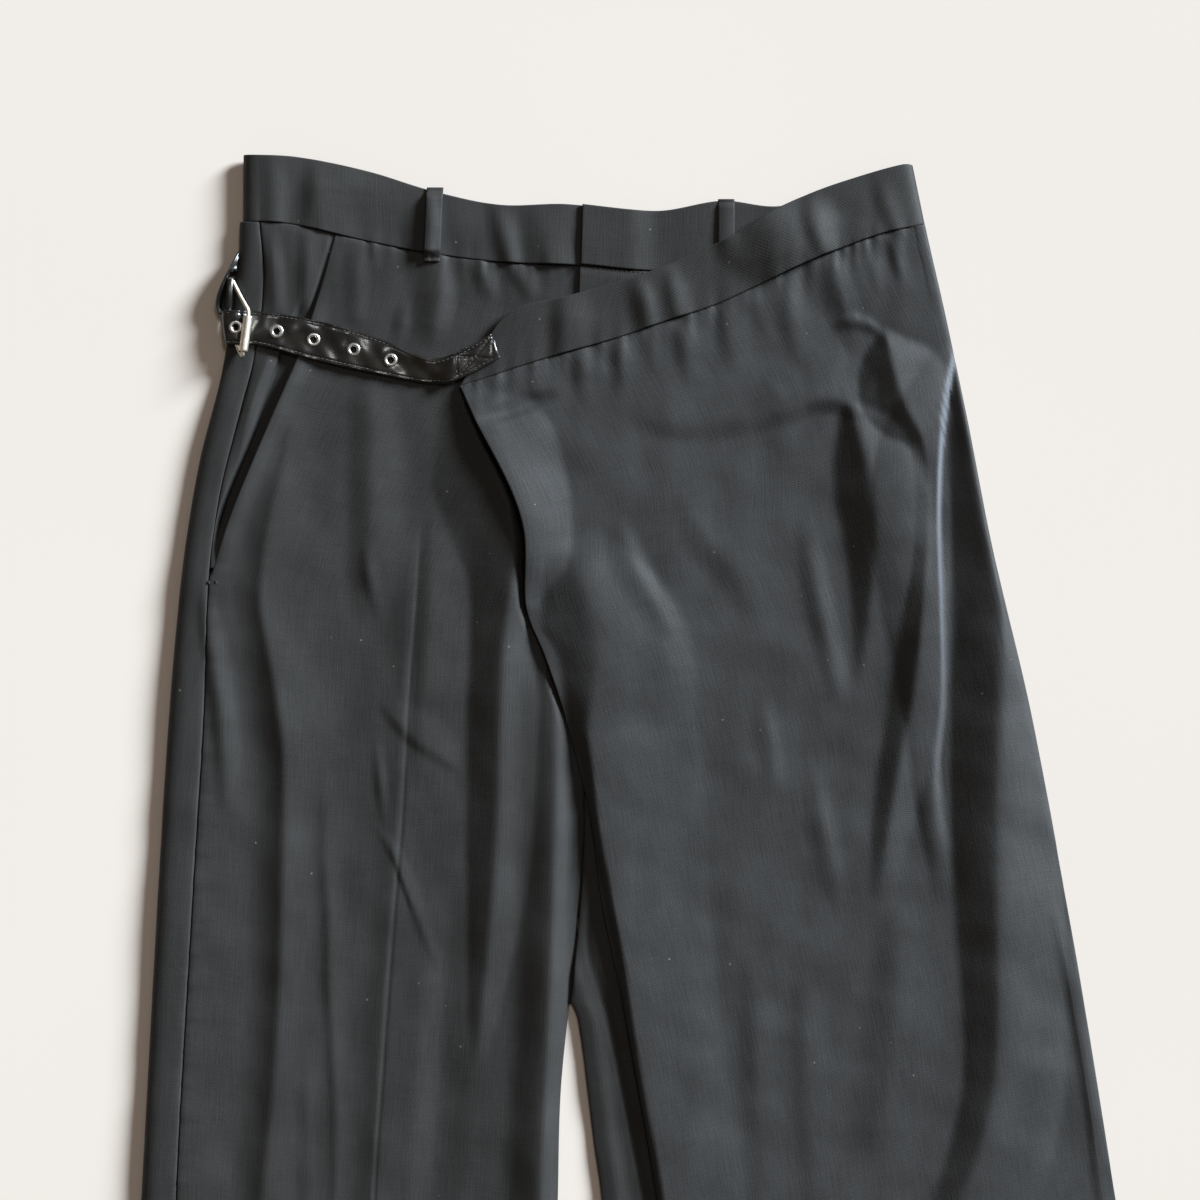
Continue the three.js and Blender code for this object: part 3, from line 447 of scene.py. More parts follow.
WRAP_FOLDS = [
    Fold("crease under the band", [
        (101, 444, 4, 3, 0), (110, 449, 6, 4, 1.4), (122, 447, 6, 4, 1.2), (132, 439, 3, 3, 0),
    ], crest=0.12, foot=0.12),
    Fold("long crease across the hip", [
        (-22, 392, 8, 10, 0), (10, 388, 12, 20, 1.2), (40, 390, 12, 26, 1.6), (70, 395, 10, 26, 1.8),
        (98, 402, 6, 16, 0),
    ], foot=0.15),
    Fold("bright line beside the side", [
        (173.5, 434, 8, 2, 0), (171, 420, 16, 2.2, 1.6), (167.5, 400, 26, 2.4, 3),
        (164.5, 375, 36, 2.6, 4), (163.5, 353, 40, 2.6, 4.2), (163, 329, 40, 2.6, 4.2),
        (164.5, 281, 36, 2.8, 3.8), (165.5, 221, 24, 3, 2.8), (161, 184, 14, 4, 2),
        (161, 158, 10, 6, 1.6), (165, 128, 8, 7, 1), (168, 100, 6, 7, 0),
    ], crest=0.12, bulge=0.9),
    Fold("roll of the free edge", [
        (-118, 399, 12, 16, 2), (-113, 388, 12, 36, 4.4), (-102, 367, 12, 40, 6.5),
        (-92, 347, 12, 35, 6.8), (-85.5, 328, 12, 31, 6.4), (-83, 305, 12, 27, 5.2),
        (-84, 280, 12, 8, 2),
    ], foot=0.04, ease=0.0),
    Fold("corner crease", [
        (-116, 388, 3, 6, 0), (-97, 392, 5, 9, -2.6), (-78, 399, 4, 8, -2.2), (-64, 404, 3, 5, 0),
    ]),
    Fold("free edge lower down", [
        (-58, 318, 12, 20, 0), (-50, 296, 24, 34, 4), (-42, 272, 34, 48, 5.2), (-38.7, 251, 26, 56, 5),
        (-41, 227, 20, 62, 4.6), (-45, 205, 12, 66, 4.6), (-44, 185, 6, 68, 4.6),
        (-37.5, 131, 4, 64, 4.4), (-26, 71, 4, 56, 4), (-19, 23, 4, 54, 3.8), (-11, -25, 4, 52, 3.6),
        (-2, -73, 4, 50, 3.4), (28, -290, 5, 46, 2.4), (62, -530, 5, 40, 1.2),
    ], foot=0.05, ease=0.0),
    Fold("small fold at the free edge", [
        (-29, 330, 8, 6, 0), (-20, 305, 14, 9, 1.68), (-4, 276, 10, 8, 0.84), (6, 258, 6, 6, 0),
    ]),
    Fold("diagonal over the thigh", [
        (8, 350, 8, 12, 0), (22, 325, 14, 20, 1.44), (42, 300, 15, 22, 1.8), (64, 264, 10, 16, 0),
    ]),
    Fold("gather at the corner", [
        (-49.5, 433, 6, 9, 0.96), (-48.5, 418, 9, 13, 1.44), (-46, 396, 7, 10, 0),
    ]),
    Fold("gather 1", [(-27.8, 440, 5, 8, 0.72), (-26, 424, 7, 11, 1.14), (-24, 402, 6, 9, 0)], crest=0.16),
    Fold("gather 2", [(-9.5, 447, 4, 5, 0.29), (-7.5, 432, 6, 7, 0.46), (-5, 415, 4, 5, 0)]),
    Fold("gather 3", [(7.6, 451, 6, 8, 0.73), (11.7, 431, 8, 12, 1.18), (17, 408, 6, 9, 0)], crest=0.16),
    Fold("gather 4", [(32.5, 460, 6, 9, 0.62), (38, 440, 9, 12, 1.01), (45, 416, 6, 9, 0)], crest=0.16),
    Fold("gather 5", [(53.5, 468, 4, 5, 0.29), (58, 451, 6, 7, 0.46), (62, 434, 4, 5, 0)]),
    Fold("gather 6", [(72, 478, 6, 9, 0.76), (75.5, 450, 9, 12, 1.32), (83, 418, 6, 8, 0)], crest=0.16),
    Fold("gather 7", [(99, 489, 8, 8, 0.9), (106.5, 461, 12, 10, 1.58), (116, 431, 8, 7, 0)], crest=0.16),
    Fold("gather 8", [(120.5, 497, 4, 6, 0.32), (124.5, 480, 5, 6, 0.46), (129, 463, 4, 5, 0)]),
    Fold("gather 9", [(134.5, 500, 4, 6, 0.6), (139, 485, 5, 6, 0.8), (144, 468, 4, 5, 0)]),
    Fold("fold across the hip", [
        (62, 372, 14, 10, 0), (80, 398, 9, 22, 1.6), (96, 402, 9, 26, 2.4), (110, 399, 7, 18, 2),
        (124, 388, 5, 8, 0),
    ], crest=0.1, foot=0.1),
    Fold("star fold, left arm", [
        (110.5, 399, 3, 6, 0), (114, 389, 9, 14, 3.6), (120, 368, 19, 22, 6), (124, 345, 22, 26, 6.4),
        (126, 317, 18, 28, 5.6), (125, 293, 14, 24, 4), (121, 262, 8, 18, 1.6), (117, 228, 4, 9, 0),
    ], crest=0.1, foot=0.08),
    Fold("star fold, right arm", [
        (131.5, 443, 2, 3, 0), (133, 437, 8, 9, 3), (135.5, 425, 20, 20, 6), (141.5, 403, 25, 24, 7),
        (147, 391, 20, 22, 5.6), (154, 378, 9, 16, 2.2), (157, 362, 7, 14, 0.6),
        (157, 330, 7, 13, 0.6), (156, 300, 8, 14, 1.8), (153, 262, 12, 16, 3.4),
        (149, 227, 13, 15, 3.6), (141, 185, 12, 14, 3.2), (134, 142, 10, 12, 2.4), (128, 100, 6, 9, 0),
    ], crest=0.07, foot=0.06),
    Fold("long fold of the left hip", [
        (175, 424, 3, 3, 0.4), (178.5, 408, 8, 4, 2.8), (183.5, 386, 13, 5, 4.8),
        (190, 356, 19, 6, 6.2), (197, 320, 25, 7, 7.2), (200.5, 281, 29, 13, 7.6),
        (201, 221, 29, 22, 7.8), (199.5, 180, 28, 26, 7.6), (199.5, 105, 26, 30, 6.8),
        (200.5, 42, 22, 30, 6), (198, -9, 19, 32, 5.4), (190, -46, 18, 32, 4.8),
        (177, -82, 17, 32, 4.2), (156, -134, 16, 30, 3.4), (134, -190, 15, 26, 2.2),
        (112, -250, 12, 20, 0),
    ], crest=0.14, foot=0.05),
    Fold("fold beside the left side", [
        (233, 100, 4, 5, 0), (239, 70, 4, 7, 0.66), (247.5, 28, 4, 9, 0.83), (257, -34, 4, 9, 0.83),
        (262, -76, 4, 8, 0.66), (276, -150, 5, 8, 0.44), (300, -300, 5, 9, 0),
    ], foot=0.12),
    Fold("streak of the hip", [
        (84, 330, 6, 7, 0), (91, 288, 9, 9, 1.25), (98, 256, 9, 9, 1.25), (106, 214, 6, 7, 0),
    ]),
    Fold("thigh streak 1", [(88, 184, 6, 6, 0), (96, 140, 10, 8, 1.02), (107, 90, 7, 6, 0)]),
    Fold("thigh streak 2", [(57, 234, 6, 6, 0), (62, 200, 10, 8, 0.96), (68, 166, 6, 6, 0)]),
    Fold("thigh streak 3", [
        (52, 70, 6, 8, 0), (54, 30, 10, 12, 0.88), (56, -20, 10, 12, 0.8), (60, -80, 8, 10, 0),
    ]),
    Fold("thigh streak 4", [
        (82, 62, 6, 8, 0), (84.5, 20, 9, 12, 0.62), (86, -25, 9, 12, 0.56), (92, -90, 8, 10, 0),
    ]),
    Fold("thigh streak 5", [
        (140, 100, 8, 12, 0), (139, 40, 20, 18, 1.6), (134, -8, 22, 18, 1.6), (118, -90, 14, 16, 0),
    ]),
    Fold("long shin fold", [
        (96, -60, 14, 16, 0), (112, -170, 22, 28, 4.2), (140, -330, 24, 30, 3.6), (176, -500, 18, 24, 0),
    ]),
    Fold("outer shin fold", [
        (226, -150, 12, 14, 0), (244, -250, 20, 24, 2.4), (266, -380, 22, 24, 2.2),
        (290, -500, 14, 18, 0),
    ]),
]
# Painted highlight: these lines' heights become the wrap's shine attribute. It lowers the cloth's roughness
# and paints a pale highlight colour into the wool along the hip's pressed edge.
GLOSS_AND_PAINTED_HIGHLIGHT_LINES = [
    Fold("pressed edge of the hip", [
        (174.5, 432, 2.4, 2.4, 0.15), (172, 420, 2.6, 2.6, 0.5), (168.5, 400, 2.4, 2.4, 0.6),
        (165.8, 375, 1.9, 1.9, 0.62), (164.6, 353, 1.8, 1.8, 0.6), (164.2, 329, 1.8, 1.8, 0.5),
        (165.6, 281, 1.8, 1.8, 0.32), (166.5, 221, 2.2, 2.2, 0.14), (163, 184, 3.4, 3.4, 0.07),
        (163, 158, 4, 4, 0.05), (167, 120, 4, 4, 0),
    ], ease=0.0),
]
BAND_FOLDS = [
    Fold("rise over the belt loop", [(36, 512, 9, 9, 1.4), (37, 497, 9, 9, 1.4), (38, 482, 7, 8, 0)]),
    Fold("dip over the waistband", [
        (64, 524, 20, 26, 0), (64, 506, 30, 38, 3.6), (66, 490, 32, 40, 4.2), (69, 474, 20, 26, 2.4),
    ], crest=0.3),
    Fold("ridge right of it", [(88, 528, 6, 10, 0), (89, 509, 8, 13, 1.9), (95, 490, 6, 10, 1.4)]),
    Fold("light fold over the fly", [(-18, 476, 8, 6, 0), (-13, 464, 10, 7, 1.8), (-9, 446, 8, 6, 1.4)]),
    Fold("fold at the fly", [(-60, 464, 8, 12, 0.6), (-60, 448, 9, 14, 1.8), (-62, 428, 7, 10, 1)]),
    Fold("fold above gather 3", [(2, 482, 5, 6, 0), (5, 468, 7, 9, 1.4), (8, 452, 6, 8, 1.6)]),
    Fold("corner fold", [(128, 538, 6, 8, 0), (133, 520, 8, 9, 1.4), (138, 503, 6, 7, 0.8)]),
]
WAISTBAND_FOLDS = [
    Fold("fold over the pocket", [
        (-207.5, 544, 9, 40, 0.6), (-208, 526, 10, 56, 2.6), (-209, 505, 9, 40, 1.6),
    ]),
    Fold("swell left of the loop", [
        (-143, 527, 20, 6, 0.6), (-141, 508, 26, 8, 1.6), (-141, 491, 20, 6, 1),
    ]),
    Fold("fold right of the loop", [(-102, 519, 5, 8, 0.3), (-97, 502, 8, 10, 1.6), (-93, 485, 7, 9, 1.6)]),
    Fold("swell beside the fly", [
        (-76, 518, 10, 16, 0.6), (-72.5, 500, 15, 18, 1.8), (-70, 484, 12, 16, 1.6),
    ]),
    Fold("fold left of the pocket", [
        (-236, 545, 7, 8, 0.3), (-234, 527, 9, 10, 1.2), (-234, 508, 8, 8, 1.4),
    ]),
]


def roll_height(y: Array) -> Array:
    """Height of the cloth's turn at the right hip, pressed flatter under the strap."""
    return 8.5 - 3.0 * hump(y, 445, 38) - 1.2 * rise(y, 480, 540)


def front_flat(y: Array) -> Array:
    """Height of the front's face where nothing lifts it."""
    return 3.4 + 1.2 * rise(y, 440, 490)


def covered_from(y: Array) -> Array:
    """x from which the wrap or its band covers the front."""
    return np.where(y > 409, COVERED_FROM(np.minimum(y, 517)), FREE_EDGE(y))


def strap_middle(x: Array) -> Array:
    """y of the strap's middle line."""
    inside = np.clip(x, -268, -101)
    return (STRAP_UPPER(inside) + STRAP_LOWER(inside)) / 2


def hip_swell(x: Array) -> Array:
    """How much the waist stands higher towards the right hip."""
    return 2.4 * (1 - rise(x, -236, -140))


def front_smooth(x: Array, y: Array) -> Array:
    """Face of the trousers' front without folds: high at the hip's turn and over the pocket's facing.

    Args:
        x: places in mm.
        y: places in mm.

    Returns:
        Heights in mm.
    """
    over_facing = 1.1 * (1 - rise(x, -180, -120)) * rise(y, 260, 300)
    inboard = x - HIP_SIDE(y)
    flat = mix(roll_height(y), front_flat(y) + over_facing, rise(inboard, HIP_ROLL, 75))
    return flat + hip_swell(x) * rise(y, 455, 500)


def pressed_by_strap(x: Array, y: Array) -> Array:
    """1 in the open and less where the strap presses the folds flat."""
    return 1 - 0.8 * hump(y, strap_middle(x), 15) * (1 - rise(x, -108, -100))


def front_top(x: Array, y: Array) -> Array:
    """Face of the right front with its folds, flat where the wrap covers it.

    Args:
        x: places in mm.
        y: places in mm.

    Returns:
        Heights in mm.
    """
    open_air = 1 - rise(x - covered_from(y), -4, 0)
    folds = folded(FRONT_FOLDS, x, y) * open_air * pressed_by_strap(x, y)
    relief = ripples(x, y, 70, 0.28, 3) + ripples(x, y, 26, 0.1, 4) + ripples(x, y, 11, 0.018, 14)
    return front_smooth(x, y) + folds + relief * open_air


def lap_height(x: Array, y: Array) -> Array:
    """How much the left front lifts where it laps over the right one."""
    return LAP_HEIGHT * (1 - rise(x, -14, 4)) * rise(y, 232, 262)


def left_front_top(x: Array, y: Array) -> Array:
    """Face of the left front, under the wrap.

    Args:
        x: places in mm.
        y: places in mm.

    Returns:
        Heights in mm.
    """
    near_inseam = hump(x - INSEAM_LEFT(y), 9, 6) * (1 - rise(y, 60, 120))
    relief = ripples(x, y, 60, 0.15, 5) + folded(UNDER_FOLDS, x + 0 * y, y + 0 * x)
    return front_flat(y) + lap_height(x, y) + 1.3 * near_inseam + relief


def band_foot(x: Array) -> Array:
    """y of the wrap band's lower edge."""
    return BAND_FOOT(np.clip(x, -124, 156.3))


def wrap_top(x: Array, y: Array) -> Array:
    """Face of the wrap panel with its folds and gathers.

    Args:
        x: places in mm.
        y: places in mm.

    Returns:
        Heights in mm.
    """
    below = band_foot(x) - y
    over_lap = LAP_HEIGHT * (1 - rise(x, 0, 30)) * rise(y, 205, 232)
    at_band = mix(8.4, front_flat(y) + 2.1 + over_lap, rise(below, 4, 55))
    side_height = mix(5.0, 8.3, rise(y, 380, 480))
    turned = mix(side_height, at_band, rise(WRAP_SIDE(y) - x, WRAP_ROLL, 60))
    relief = ripples(x, y, 75, 0.35, 6) + ripples(x, y, 27, 0.12, 7) + ripples(x, y, 11, 0.018, 15)
    return turned + (folded(WRAP_FOLDS, x, y) + relief) * rise(below, 0, 9)


def stations(length: float, step: float, fine: Sequence[float] = (0.0, 0.25, 0.7, 1.5)) -> Array:
    """Shares of a length, step mm apart, with closer ones near both ends for the cloth's edge.

    Args:
        length: the length in mm.
        step: the usual spacing in mm.
        fine: distances from each end in mm.

    Returns:
        Values from 0 to 1.
    """
    start = np.array(fine) / length
    last = start[-1]
    count = max(int(length * (1 - 2 * last) / step), 2)
    return np.concatenate([start[:-1], np.linspace(last, 1 - last, count + 1), (1 - start[:-1])[::-1]])


def laid_grid(
    left: Profile, right: Profile, top: Profile, hem: Profile, us: Array, vs: Array,
) -> tuple[Array, Array]:
    """Places of a panel's grid between two edges that run down it, its top line and its hem.

    Args:
        left: x of the left edge at y.
        right: x of the right edge at y.
        top: y of the top line at x.
        hem: y of the hem at x.
        us: shares across.
        vs: shares down.

    Returns:
        x and y in mm, rows down and columns across.
    """
    u, v = us[None, :], vs[:, None]
    y = mix(480.0, -HALF_LENGTH, v) + 0 * u
    x = 0 * y
    for _ in range(8):
        x = mix(left(y), right(y), u)
        y = mix(top(x), hem(x), v)
    return x, y


def quads(a: Array, b: Array, c: Array, d: Array) -> Array:
    """Four-sided faces from the numbers of their corners."""
    return np.stack([a, b, c, d], axis=-1).reshape(-1, 4)


def object_of(name: str, vertices: Array, faces: Sequence[Sequence[int]], material: Material) -> Object:
    """A smooth mesh object at the origin.

    Args:
        name: the piece's name.
        vertices: points in mm, one a row.
        faces: corner numbers.
        material: its finish.

    Returns:
        The object, linked to the scene.
    """
    mesh = bpy.data.meshes.new(name)
    mesh.from_pydata((np.asarray(vertices) * MM).tolist(), [], faces)
    mesh.validate()
    mesh.polygons.foreach_set("use_smooth", np.ones(len(mesh.polygons), bool))
    mesh.materials.append(material)
    return linked(name, mesh)


@dataclass
class Shell:
    """A thin wall of cloth or leather on a grid of face points, with rounded open edges.

    Rows run down the garment and columns across, so that rows x columns points outwards.
    """

    name: str
    points: Array
    thickness: float
    material: Material
    edge: float = 0.5
    # Per point: how far the roughness drops and how much painted highlight colour is mixed in.
    gloss_and_painted_highlight: Array | None = None

    def lengths(self) -> tuple[Array, Array]:
        """How far each point lies along the cloth.

        Returns:
            Distances along each row and down each column, in mm.
        """
        across = np.linalg.norm(np.diff(self.points, axis=1), axis=2)
        down = np.linalg.norm(np.diff(self.points, axis=0), axis=2)
        u = np.pad(np.cumsum(across, axis=1), ((0, 0), (1, 0)))
        v = np.pad(np.cumsum(down, axis=0), ((1, 0), (0, 0)))
        return u, v

    def normals(self) -> Array:
        """The directions that the face looks in.

        Returns:
            A unit vector for each point.
        """
        along = np.gradient(self.points, axis=1)
        down = np.gradient(self.points, axis=0)
        out = np.cross(down, along)
        return out / np.maximum(np.linalg.norm(out, axis=2, keepdims=True), 1e-9)

    def build(self) -> Object:
        """The closed wall, with a UV map that lies on the cloth in metres.

        Returns:
            The piece.
        """
        rows, columns = self.points.shape[:2]
        u, v = self.lengths()
        near = np.minimum.reduce([u, u[:, -1:] - u, v, v[-1:] - v])
        share = np.sqrt(np.clip(1 - (1 - np.minimum(near / self.edge, 1)) ** 2, 0.02, 1))[..., None]
        normal = self.normals()
        outer = self.points - normal * self.edge * (1 - share)
        inner = self.points - normal * (self.thickness - self.edge * (1 - share))
        ids = np.arange(rows * columns).reshape(rows, columns)
        a, b, c, d = ids[:-1, :-1], ids[1:, :-1], ids[1:, 1:], ids[:-1, 1:]
        face = quads(a, b, c, d)
        back = face[:, ::-1] + rows * columns
        ring = np.concatenate([ids[0, :-1], ids[:-1, -1], ids[-1, :0:-1], ids[:0:-1, 0]])
        ahead = np.roll(ring, -1)
        rim = quads(ring, ahead, ahead + rows * columns, ring + rows * columns)
        faces = np.concatenate([face, back, rim])
        vertices = np.concatenate([outer.reshape(-1, 3), inner.reshape(-1, 3)])
        piece = object_of(self.name, vertices, faces.tolist(), self.material)
        flat = np.stack([u, v], axis=-1).reshape(-1, 2) * MM
        both = np.concatenate([flat, flat])
        layer = piece.data.uv_layers.new(name="cloth")
        corner = np.zeros(len(piece.data.loops), np.int32)
        piece.data.loops.foreach_get("vertex_index", corner)
        layer.data.foreach_set("uv", both[corner].astype(np.float32).ravel())
        # Stored for the finish's lower roughness and its painted highlight.
        if self.gloss_and_painted_highlight is not None:
            worn_and_painted_sheen = piece.data.attributes.new("gloss_and_painted_highlight", "FLOAT", "POINT")
            worn_and_painted_sheen.data.foreach_set("value", np.tile(self.gloss_and_painted_highlight.ravel(), 2).astype(np.float32))
        return piece

    def cut(self) -> tuple[tuple[float, float], float]:
        """The flat cut, measured along the cloth.

        Returns:
            Its width and length in metres, and its area in square metres.
        """
        u, v = self.lengths()
        a = self.points[1:, 1:] - self.points[:-1, :-1]
        b = self.points[1:, :-1] - self.points[:-1, 1:]
        area = float(np.linalg.norm(np.cross(a, b), axis=2).sum() / 2) * MM * MM
        width, length = float(u[:, -1].max()) * MM, float(v[-1].max()) * MM
        return (width, length), max(min(area, width * length), 0.3 * width * length)


def place(piece: Object, slot: Slot, *nodes: str) -> Object:
    """Rides a piece on the body and lets it stand for its CAD nodes.

    Args:
        piece: the piece.
        slot: its material slot; not used.
        nodes: the CAD nodes that it stands for.

    Returns:
        The piece.
    """
    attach(piece, BODY)
    if nodes:
        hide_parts(*nodes)
    return piece


def lay_cloth(shell: Shell, node: str) -> Object:
    """Builds a cloth shell and puts it in the place of its CAD node.

    Args:
        shell: the cloth.
        node: the CAD node.

    Returns:
        The piece.
    """
    piece = place(shell.build(), Slot.CLOTH, node)
    return piece


def fill(tree: Tree, node: bpy.types.Node, values: Values, feeds: Feeds) -> None:
    """Sets a node's inputs.

    Args:
        tree: the tree it is in.
        node: the node.
        values: an input's own value, by its name or number.
        feeds: the socket that an input is linked from, by its name or number.
    """
    for key, value in values.items():
        node.inputs[key].default_value = value
    for key, source in feeds.items():
        tree.links.new(source, node.inputs[key])


def add_node(
    tree: Tree, kind: str, values: Values | None = None, feeds: Feeds | None = None, **settings: object,
) -> bpy.types.Node:
    """A node with its settings and inputs.

    Args:
        tree: the tree it goes into.
        kind: the node's type.
        values: an input's own value, by its name or number.
        feeds: the socket that an input is linked from, by its name or number.
        settings: the node's own properties.

    Returns:
        The node.
    """
    node = tree.nodes.new(kind)
    for key, value in settings.items():
        setattr(node, key, value)
    fill(tree, node, values or {}, feeds or {})
    return node


def new_material(name: str) -> tuple[Material, Tree, bpy.types.Node]:
    """An empty material with its shader joined to the output.

    Args:
        name: the finish.

    Returns:
        The material, its node tree and its shader.
    """
    material = bpy.data.materials.new(name)
    material.use_nodes = True
    tree = material.node_tree
    tree.nodes.clear()
    shader = add_node(tree, "ShaderNodeBsdfPrincipled")
    add_node(tree, "ShaderNodeOutputMaterial", feeds={"Surface": shader.outputs["BSDF"]})
    return material, tree, shader


def ramp(tree: Tree, source: Socket, stops: Sequence[tuple[float, Colour]]) -> Socket:
    """Colours for the values of a socket.

    Args:
        tree: the tree it goes into.
        source: the values.
        stops: rows of (value, colour).

    Returns:
        The colours' socket.
    """
    node = add_node(tree, "ShaderNodeValToRGB", feeds={"Fac": source})
    while len(node.color_ramp.elements) < len(stops):
        node.color_ramp.elements.new(0.5)
    for element, (at, colour) in zip(node.color_ramp.elements, stops):
        element.position = at
        element.color = (*colour, 1.0)
    return node.outputs["Color"]


def between(tree: Tree, source: Socket, low: float, high: float) -> Socket:
    """A socket from low to high where the source runs from 0 to 1."""
    node = add_node(tree, "ShaderNodeMapRange", {"To Min": low, "To Max": high}, {"Value": source})
    return node.outputs["Result"]


def relief(tree: Tree, height: Socket, strength: float, distance: float) -> Socket:
    """The normal of a surface with a fine relief, its distance in metres."""
    values = {"Strength": strength, "Distance": distance}
    return add_node(tree, "ShaderNodeBump", values, {"Height": height}).outputs["Normal"]


def weighted(tree: Tree, source: Socket, weight: float, rest: Socket) -> Socket:
    """rest plus the source times its weight."""
    node = add_node(tree, "ShaderNodeMath", {1: weight}, {0: source, 2: rest}, operation="MULTIPLY_ADD")
    return node.outputs["Value"]


def object_noise(tree: Tree, values: Values) -> Socket:
    """Noise on the piece's own coordinates."""
    where = add_node(tree, "ShaderNodeTexCoord").outputs["Object"]
    return add_node(tree, "ShaderNodeTexNoise", values, {"Vector": where}).outputs["Fac"]


@dataclass(frozen=True)
class WoolFinish:
    """Black wool twill: fine diagonal ribs, a fibrous nap and a soft sheen.

    A copy of it painted a shade lighter stands in for the extra light on the wrap panel.
    """

    name: str = "wool_twill"
    dark: Colour = (0.0148, 0.0141, 0.0135)
    light: Colour = (0.0432, 0.0416, 0.0405)
    lint: Colour = (0.30, 0.29, 0.26)
    # A pale colour painted in along the pressed edges as a highlight.
    painted_highlight_colour: Colour = (0.26, 0.285, 0.325)
    rib: float = 0.0011
    rib_turn: float = 58.0
    matt: float = 0.6
    shiny: float = 0.35

    def noise(
        self, tree: Tree, uv: Socket, scale: float, detail: float, stretch: Sequence[float] = (1.0, 1.0, 1.0),
    ) -> Socket:
        """Noise on the cloth.

        Args:
            tree: the material's tree.
            uv: the cloth's own coordinates in metres.
            scale: how fine it is.
            detail: how many finer layers it has.
            stretch: a smaller number draws it out that way.

        Returns:
            Its values.
        """
        fitted = add_node(tree, "ShaderNodeMapping", {"Scale": stretch}, {"Vector": uv}).outputs["Vector"]
        values = {"Scale": scale, "Detail": detail, "Roughness": 0.6}
        return add_node(tree, "ShaderNodeTexNoise", values, {"Vector": fitted}).outputs["Fac"]

    def ribs(self, tree: Tree, uv: Socket) -> Socket:
        """The twill's diagonal ribs.

        Args:
            tree: the material's tree.
            uv: the cloth's own coordinates in metres.

        Returns:
            Values from 0 to 1.
        """
        turn = {"Rotation": (0.0, 0.0, math.radians(self.rib_turn))}
        across = add_node(tree, "ShaderNodeMapping", turn, {"Vector": uv}).outputs["Vector"]
        values = {"Scale": 0.314 / self.rib, "Distortion": 1.2, "Detail": 2.0}
        feeds = {"Vector": across}
        wave = add_node(tree, "ShaderNodeTexWave", values, feeds, wave_type="BANDS", bands_direction="X")
        return wave.outputs["Fac"]

    def specks(self, tree: Tree, uv: Socket) -> Socket:
        """Where lint lies.

        Args:
            tree: the material's tree.
            uv: the cloth's own coordinates in metres.

        Returns:
            1 on a speck and 0 beside it.
        """
        white, black = (1.0, 1.0, 1.0), (0.0, 0.0, 0.0)
        cells = add_node(tree, "ShaderNodeTexVoronoi", {"Scale": 70.0}, {"Vector": uv}, feature="F1")
        speck = ramp(tree, cells.outputs["Distance"], [(0.0, white), (0.06, black)])
        chosen = ramp(tree, cells.outputs["Color"], [(0.6, black), (0.78, white)])
        return add_node(tree, "ShaderNodeMath", {}, {0: speck, 1: chosen}, operation="MULTIPLY").outputs[0]

    def build(self) -> Material:
        """The material, its weave on the cloth's own UV map.

        Returns:
            The material.
        """
        material, tree, shader = new_material(self.name)
        uv = add_node(tree, "ShaderNodeUVMap", uv_map="cloth").outputs["UV"]
        grain = self.noise(tree, uv, 1500.0, 2.0)
        warp = self.noise(tree, uv, 900.0, 3.0, (1.0, 0.05, 1.0))
        weft = self.noise(tree, uv, 900.0, 3.0, (0.06, 1.0, 1.0))
        cloud = self.noise(tree, uv, 24.0, 5.0)
        shade = weighted(tree, grain, 1.5, weighted(tree, warp, 0.9, weighted(tree, weft, 0.6, cloud)))
        span = {"From Min": 1.35, "From Max": 2.65}
        centred = add_node(tree, "ShaderNodeMapRange", span, {"Value": shade}).outputs["Result"]
        colour = ramp(tree, centred, [(0.0, self.dark), (1.0, self.light)])
        gloss_and_painted_highlight = add_node(tree, "ShaderNodeAttribute", attribute_name="gloss_and_painted_highlight").outputs["Fac"]
        # The lint specks are the cloth's own colour; the second mix paints a pale highlight along the pressed
        # edges.
        for share, over in ((self.specks(tree, uv), self.lint), (gloss_and_painted_highlight, self.painted_highlight_colour)):
            feeds = {"Factor": share, "A": colour}
            blend = add_node(tree, "ShaderNodeMix", {"B": (*over, 1.0)}, feeds, data_type="RGBA")
            colour = blend.outputs["Result"]
        threads = weighted(tree, weft, 0.35, weighted(tree, grain, 1.2, warp))
        height = weighted(tree, self.ribs(tree, uv), 0.25, threads)
        fill(tree, shader, {
            "Specular IOR Level": 0.3, "Sheen Weight": 0.06, "Sheen Roughness": 0.4,
            "Sheen Tint": (0.80, 0.88, 1.0, 1.0),
        }, {
            "Base Color": colour, "Roughness": between(tree, gloss_and_painted_highlight, self.matt, self.shiny),
            "Normal": relief(tree, height, 0.45, 0.00028),
        })
        return material


@dataclass(frozen=True)
class LeatherFinish:
    """Smooth black leather with a fine grain and lighter patches, partly wear and partly painted sheen."""

    name: str
    dark: Colour = (0.0055, 0.0055, 0.006)
    # The lighter patches' colour: partly wear, partly painted sheen.
    worn_and_painted_sheen: Colour = (0.026, 0.0235, 0.0195)
    roughness: float = 0.26

    def build(self) -> Material:
        """The material, its grain on object coordinates.

        Returns:
            The material.
        """
        material, tree, shader = new_material(self.name)
        where = add_node(tree, "ShaderNodeTexCoord").outputs["Object"]
        cells = {"Scale": 900.0}
        grain = add_node(tree, "ShaderNodeTexVoronoi", cells, {"Vector": where}, feature="DISTANCE_TO_EDGE")
        patches = object_noise(tree, {"Scale": 55.0, "Detail": 7.0, "Roughness": 0.62})
        height = weighted(tree, grain.outputs["Distance"], 0.5, patches)
        fill(tree, shader, {"Specular IOR Level": 0.6, "Coat Weight": 0.6, "Coat Roughness": 0.14}, {
            "Base Color": ramp(tree, patches, [(0.42, self.dark), (0.72, self.worn_and_painted_sheen)]),
            "Roughness": between(tree, patches, self.roughness - 0.1, self.roughness + 0.16),
            "Normal": relief(tree, height, 0.2, 0.0003),
        })
        return material


